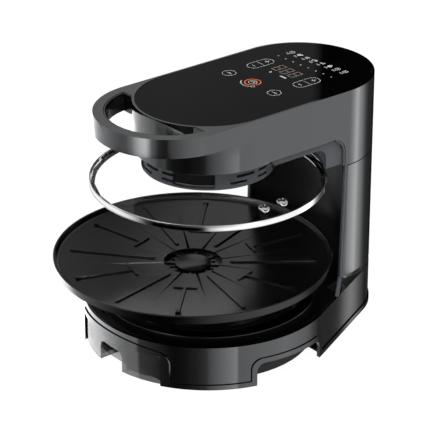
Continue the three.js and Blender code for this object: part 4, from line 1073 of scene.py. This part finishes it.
def base_skirt():
    """Gunmetal wall of the base: foot bead, proud frames round arches and drawer, fine grooves beside."""
    wall = skirt_wall(0, FOOT_LIFT, BASE_TOP)
    skin = skirt_wall(OVERRUN, FOOT_LIFT - OVERRUN, BASE_TOP - 2 * MM)
    cut(skin, skirt_wall(-GROOVE, -2 * OVERRUN, BASE_TOP))
    cut(wall, meet(skin, outlines("lines", LINE, BEAD_TOP + LINE)))
    join(wall, meet(skirt_wall(BEAD, FOOT_LIFT, BASE_TOP), outlines("frames", 0, BEAD_TOP)))
    cut(
        wall,
        skirt_wall(-CASING_WALL, FOOT_LIFT - OVERRUN, BASE_TOP + OVERRUN),
        slab("arches", arch_side(-ARCH_FRAME), "X", -FAR, FAR),
        block("drawer_way", (DRAWER_LEFT, -FAR, -OVERRUN), (DRAWER_RIGHT, DRAWER_WAY_END, DRAWER_TOP)),
        peg("cord_way", CORD_RADIUS, CORD_WAY_START, CORD_WAY_START + BASE_RADIUS, CORD_HEIGHT),
    )
    tidy(wall)
    soften(wall, 0.45 * MM, 2, 40)
    polish(wall)
    return fit_for(wall, "base_skirt")


def well_ring():
    """Black ring round the heating well, its upper edge rounded."""
    low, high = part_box("well_ring")
    inner, step, outer = 104.5 * MM, 107 * MM, high.x
    deck, edge, nick = up(49), 1.6 * MM, 0.6 * MM
    outline = [
        (inner, low.z), (step, low.z), (step, deck), (outer, deck), (outer, high.z - edge),
        (outer - 0.25 * edge, high.z - 0.35 * edge), (outer - edge, high.z), (inner + nick, high.z),
        (inner, high.z - nick), (inner, low.z),
    ]
    ring_piece = spun("well_collar", outline)
    polish(ring_piece)
    return fit_for(ring_piece, "well_ring")


def peg(name, radius, front, rear, z):
    """A round bar along Y in the middle of the machine."""
    at_rest()
    bpy.ops.mesh.primitive_cylinder_add(
        vertices=FINE, radius=radius, depth=rear - front, location=(0, (front + rear) / 2, z),
        rotation=(math.pi / 2, 0, 0),
    )
    return new_piece(name)


def copies_of_cad():
    """CAD solids whose form is finished already get rounded edges and smooth walls."""
    refined("column_shell", "column_casing", 0.6 * MM, 0.9 * MM)
    for node, name, edge in (
        ("column_trim_right", "trim_strip_right", 0.3),
        ("column_trim_left", "trim_strip_left", 0.3),
        ("column_liner", "column_wall", 0.5),
        ("head_liner", "head_tray", 0.4),
        ("handle_insert", "loop_lining", 0.4),
        ("base_deck", "deck_plate", 0.3),
        ("grip_scoop_right", "grip_recess_right", 0),
        ("grip_scoop_left", "grip_recess_left", 0),
        ("drip_drawer", "drip_tray", 0.5),
    ):
        refined(node, name, edge * MM)


# Camera, light and floor

PHOTO_PIXELS = 429
FOCAL_PIXELS = 2284.7
SENSOR = 36.0
CAMERA_TURN = math.radians(51.0091)
CAMERA_DIP = math.radians(25.3565)
CAMERA_DISTANCE = 2509.156 * MM
CAMERA_RIGHT = 6.838 * MM
CAMERA_UP = 125.556 * MM


def outwards(turn, rise):
    """The way from the machine at a turn from the camera's side and a rise, both in radians."""
    angle = turn + CAMERA_TURN - math.pi / 2
    return Vector((math.cos(angle) * math.cos(rise), math.sin(angle) * math.cos(rise), math.sin(rise)))


def camera():
    """The photograph's camera: a long lens from the front right, looking down."""
    out = outwards(0, CAMERA_DIP)
    right = Vector((math.cos(CAMERA_TURN), math.sin(CAMERA_TURN), 0))
    over = out.cross(right)
    aim = Vector((0, AXIS_Y, FOOT_LIFT))
    place = aim + right * CAMERA_RIGHT + over * CAMERA_UP + out * CAMERA_DISTANCE
    data = bpy.data.cameras.new("camera")
    data.sensor_width = SENSOR
    data.sensor_fit = "HORIZONTAL"
    data.lens = FOCAL_PIXELS / PHOTO_PIXELS * SENSOR
    data.clip_start = 0.1
    data.clip_end = 20
    seat = bpy.data.objects.new("camera", data)
    seat.matrix_world = Matrix.Translation(place) @ Matrix((right, over, out)).transposed().to_4x4()
    bpy.context.scene.collection.objects.link(seat)
    bpy.context.scene.camera = seat
    return seat


def seen_share(tree, *kinds):
    """1 for the kinds of ray given, such as those of the camera or a mirror, and 0 for the rest."""
    path = add(tree, "ShaderNodeLightPath")
    share = path.outputs[kinds[0]]
    for kind in kinds[1:]:
        share = add(tree, "ShaderNodeMath", {0: share, 1: path.outputs[kind]}, operation="MAXIMUM").outputs[0]
    return share


def floor():
    """Plain white floor that keeps a faint shadow."""
    at_rest()
    bpy.ops.mesh.primitive_plane_add(size=12)
    piece = new_piece("floor")
    material = bpy.data.materials.new("plain_white_floor")
    material.use_nodes = True
    tree = material.node_tree
    tree.nodes.clear()
    lit = add(tree, "ShaderNodeBsdfDiffuse", {"Color": srgb("e6e6e6")})
    white = add(tree, "ShaderNodeEmission", {"Color": srgb("ffffff"), "Strength": 1.07})
    seen = seen_share(tree, "Is Camera Ray", "Is Glossy Ray", "Is Transmission Ray")
    share = add(tree, "ShaderNodeMath", {0: seen, 1: 0.92}, operation="MULTIPLY")
    mixed = add(tree, "ShaderNodeMixShader", {0: share.outputs[0], 1: lit.outputs[0], 2: white.outputs[0]})
    add(tree, "ShaderNodeOutputMaterial", {"Surface": mixed.outputs[0]})
    piece.data.materials.append(material)
    piece.visible_glossy = False  # what mirrors shows the room's soft boxes and flags, also below the floor
    return piece


TOP_LEVEL = 4.2  # radiance of the strip light, the brightest thing in the room
SEAM = -141  # turn from the camera at which every ramp round the room starts, in degrees


def levels(tree, way, *marks):
    """Light round the room, from marks of turn from the camera in degrees and radiance, in rising order."""
    ramp = add(tree, "ShaderNodeValToRGB", {"Fac": round_room(tree, way)})
    row = ramp.color_ramp
    places = [((turn - SEAM) / 360, value / TOP_LEVEL) for turn, value in marks]
    while len(row.elements) > 1:
        row.elements.remove(row.elements[-1])
    for i, (place, value) in enumerate(places):
        element = row.elements[0] if i == 0 else row.elements.new(place)
        element.position = place
        element.color = (value, value, value, 1)
    return ramp.outputs["Color"]


STRIP_RADIUS = 0.6
COLUMN_SIDE = (
    (58, 1.02), (87, 1.08), (92.6, 1.75), (98, 2.8), (101, 2.9), (103.9, 1.92), (112.5, 0.81), (117.5, 0.32),
    (124, 0.1), (142, 0.02), (184, 0.02),
)  # an even side wall, a soft strip light behind it and then the dark behind the machine
DRUM_FRONT = (
    (-85, 0.8), (-75, 0.38), (-63, 0.38), (-61, 0.13), (-51, 0.05), (-30, 0.02), (-8.4, 0.08), (-3, 0.14),
    (-2, 0.24),
)  # dim on the left with one hard edge, black in front
FLANK = ((9.9, 0.62), (23.2, 0.89), (42.2, 1.08))  # the head's long side, lighter towards the column
PLATE_EDGE = (
    (-71.4, 0.05), (-50, 0.0), (-22.9, 0.0), (-4.2, 0.07), (6.5, 0.31), (31, 0.69),
)  # black in front and grey on the right


def strip(name, low, high, *marks):
    """A glowing band round the machine that only mirrors see, at the height where one part of it looks."""
    at_rest()
    bpy.ops.mesh.primitive_circle_add(vertices=WIDE, radius=STRIP_RADIUS, location=(0, AXIS_Y, low))
    bpy.ops.object.mode_set(mode="EDIT")
    bpy.ops.mesh.select_all(action="SELECT")
    bpy.ops.mesh.extrude_region_move(TRANSFORM_OT_translate={"value": (0, 0, high - low)})
    bpy.ops.object.mode_set(mode="OBJECT")
    piece = bpy.context.object
    piece.name = name
    material = bpy.data.materials.new(name)
    material.use_nodes = True
    tree = material.node_tree
    tree.nodes.clear()
    way = add(tree, "ShaderNodeSeparateXYZ", {0: add(tree, "ShaderNodeTexCoord").outputs["Object"]})
    light = add(tree, "ShaderNodeEmission", {"Color": levels(tree, way, *marks), "Strength": TOP_LEVEL})
    add(tree, "ShaderNodeOutputMaterial", {"Surface": light.outputs[0]})
    piece.data.materials.append(material)
    for kind in ("camera", "diffuse", "transmission", "volume_scatter", "shadow"):
        setattr(piece, "visible_" + kind, False)
    return piece


def strips():
    """Soft boxes and dark flags at the heights that base, plate, lid, drum, loop, dish and panel mirror."""
    strip(
        "base_strip", -0.32, -0.166,
        (-140.9, 2.6), (-123, 2.9), (-105, 2.85), (-90, 2.0), (-79, 1.35), (-72, 1.05), (-62, 1.0),
        (-60, 0.26), (-46, 0.14),
        (-33, 0.05), (-27, 0.03), (-18.7, 0.05), (-8.6, 0.12), (-1, 0.24), (0, 0.42), (4.4, 0.66),
        (16.3, 1.27), (24.3, 1.8), (24.9, 0.84), (56, 1.05), (68, 1.2), (92, 0.8), (104, 0.3), (112, 0.1),
        (122.3, 0.08), (123.05, 0.53), (123.45, 1.15), (123.9, 0.55), (124.8, 0.06), (184, 0.02), (187, 2.2),
        (218.9, 2.6),
    )
    strip(
        "rim_strip", -0.166, -0.075,
        (-140.9, 0.6), (-109, 0.54), (-98.9, 0.4), (-84, 0.2), *PLATE_EDGE, (45, 0.82), *COLUMN_SIDE,
        (187, 0.6), (218.9, 0.6),
    )
    strip(
        "lid_strip", -0.075, -0.034,
        (-140.9, 1.1), (-99, 1.1), (-81.4, 1.0), (-74, 0.85), (-67.6, 0.6), (-60, 0.2), (-55.4, 0.05),
        (-48, 0.0), (-8, 0.0),
        (-4, 0.03), (-1, 0.25), (3, 0.68), (9, 0.95), (14.9, 1.15), (29.4, 1.23), (66, 1.21),
        *COLUMN_SIDE[1:], (187, 1.1), (218.9, 1.1),
    )
    strip(
        "drum_strip", -0.034, 0.0145,
        (-140.9, 2.6), (-125, 1.4), *DRUM_FRONT, (6.5, 0.48), (19.2, 0.77), (36.9, 1.38), (45, 1.52),
        (45.8, 1.02), *COLUMN_SIDE, (187, 2.6), (218.9, 2.6),
    )
    strip(
        "gap_strip", 0.0145, 0.044,
        (-140.9, 1.8), (-102, 1.11), (-95, 1.0), *DRUM_FRONT, (0.1, 0.4), *FLANK, *COLUMN_SIDE,
        (187, 1.8), (218.9, 1.8),
    )
    strip(
        "loop_strip", 0.044, 0.12,
        (-140.9, 0.3), (-115, 0.5), (-102, 1.11), (-82.8, 0.78), (-70.3, 0.57), (-61.2, 0.62), (-53.5, 1.2),
        (-47, 2.5), (-41.5, 3.6), (-34.6, 4.2), (-31, 3.0), (-26.4, 0.9), (-16.9, 0.17), (-9.2, 0.1),
        (-5, 0.12), (-4.4, 0.32), *FLANK, *COLUMN_SIDE, (218.9, 0.1),
    )
    strip(
        "dish_strip", 0.12, 0.432,
        (-140.9, 0.3), (-60, 0.5), (60, 0.5), (110, 0.2), (150, 0.0), (171.6, 0.0), (172.6, 0.2),
        (173.9, 0.52), (180.4, 0.46), (183.5, 0.36), (186, 0.1), (190.5, 0.04), (194, 0.12), (197, 0.2),
        (218.9, 0.3),
    )
    strip(
        "panel_strip", 0.432, 0.8,
        (-140.9, 0.52), (130, 0.52), (150, 0.0), (165.8, 0.0), (166.1, 0.45), (172.8, 0.47), (180, 0.52),
        (184.5, 0.56), (191, 0.53), (218.9, 0.52),
    )


def round_room(tree, way):
    """Turn about the machine's axis, from 0 to 1."""
    turn = add(tree, "ShaderNodeMath", {0: way.outputs["Y"], 1: way.outputs["X"]}, operation="ARCTAN2")
    span = {"Value": turn.outputs[0], "From Min": -math.pi, "From Max": math.pi}
    return add(tree, "ShaderNodeMapRange", span).outputs[0]


def world():
    """White background, a dim even light on matt things, and a studio of soft boxes and flags for mirrors."""
    made = bpy.data.worlds.new("studio")
    bpy.context.scene.world = made
    made.use_nodes = True
    tree = made.node_tree
    tree.nodes.clear()
    way = add(tree, "ShaderNodeSeparateXYZ", {0: add(tree, "ShaderNodeTexCoord").outputs["Generated"]})
    low = levels(
        tree, way,
        (-140.9, 0.6), (-109, 0.52), (-98.9, 0.38), (-84, 0.18), *PLATE_EDGE, (60, 0.85), (82.5, 0.86),
        (103.7, 0.68), (123.6, 0.36), (133.6, 0.05), (184, 0.02), (187, 0.6), (218.9, 0.6),
    )
    high = levels(
        tree, way, (-140.9, 0.55), (80, 0.55), (90, 0.02), (165.8, 0.0), (166.1, 0.5), (218.9, 0.55),
    )
    above = add(tree, "ShaderNodeMapRange", {"Value": way.outputs["Z"], "From Min": -0.03, "From Max": 0.03})
    room = add(tree, "ShaderNodeMix", {"Factor": above.outputs[0], "A": low, "B": high}, data_type="RGBA")
    lights = [
        add(tree, "ShaderNodeBackground", {"Color": colour, "Strength": strength}).outputs[0]
        for colour, strength in (
            (room.outputs["Result"], TOP_LEVEL), (srgb("ffffff"), 1.0), (srgb("ffffff"), 0.25)
        )
    ]
    mirror, white, fill = lights
    in_mirror = seen_share(tree, "Is Glossy Ray")
    in_view = seen_share(tree, "Is Camera Ray", "Is Transmission Ray")
    lit = add(tree, "ShaderNodeMixShader", {0: in_mirror, 1: fill, 2: mirror}).outputs[0]
    mixed = add(tree, "ShaderNodeMixShader", {0: in_view, 1: lit, 2: white}).outputs[0]
    add(tree, "ShaderNodeOutputWorld", {"Surface": mixed})


AIM = Vector((0, 0, 0.15))


def lamp(name, turn, rise, distance, size, power):
    """A square soft box at an angle from the camera's side, aimed at the machine."""
    data = bpy.data.lights.new(name, "AREA")
    data.shape = "SQUARE"
    data.size = size
    data.energy = power
    seat = bpy.data.objects.new(name, data)
    out = outwards(math.radians(turn), math.radians(rise))
    seat.location = AIM + out * distance
    seat.rotation_euler = out.to_track_quat("Z", "Y").to_euler()
    seat.visible_glossy = False
    bpy.context.scene.collection.objects.link(seat)
    return seat


def studio():
    """Camera, floor, room and lamps."""
    camera()
    floor()
    world()
    strips()
    lamp("key_softbox", 35, 66, 1.6, 0.9, 22)
    lamp("fill_softbox", -50, 40, 1.8, 1.0, 8)


dress_frame()
head_casing()
touch_glass()
arch_trims()
panel_marks()
vent_ring()
# the near-black band behind the vent windows is painted shade
vent_shade_band()
grill_plate()
drain_cap()
lid_band()
lid_glass()
lid_studs()
base_skirt()
well_ring()
copies_of_cad()
studio()

bpy.context.scene.view_settings.view_transform = "Standard"
bpy.context.view_layer.update()
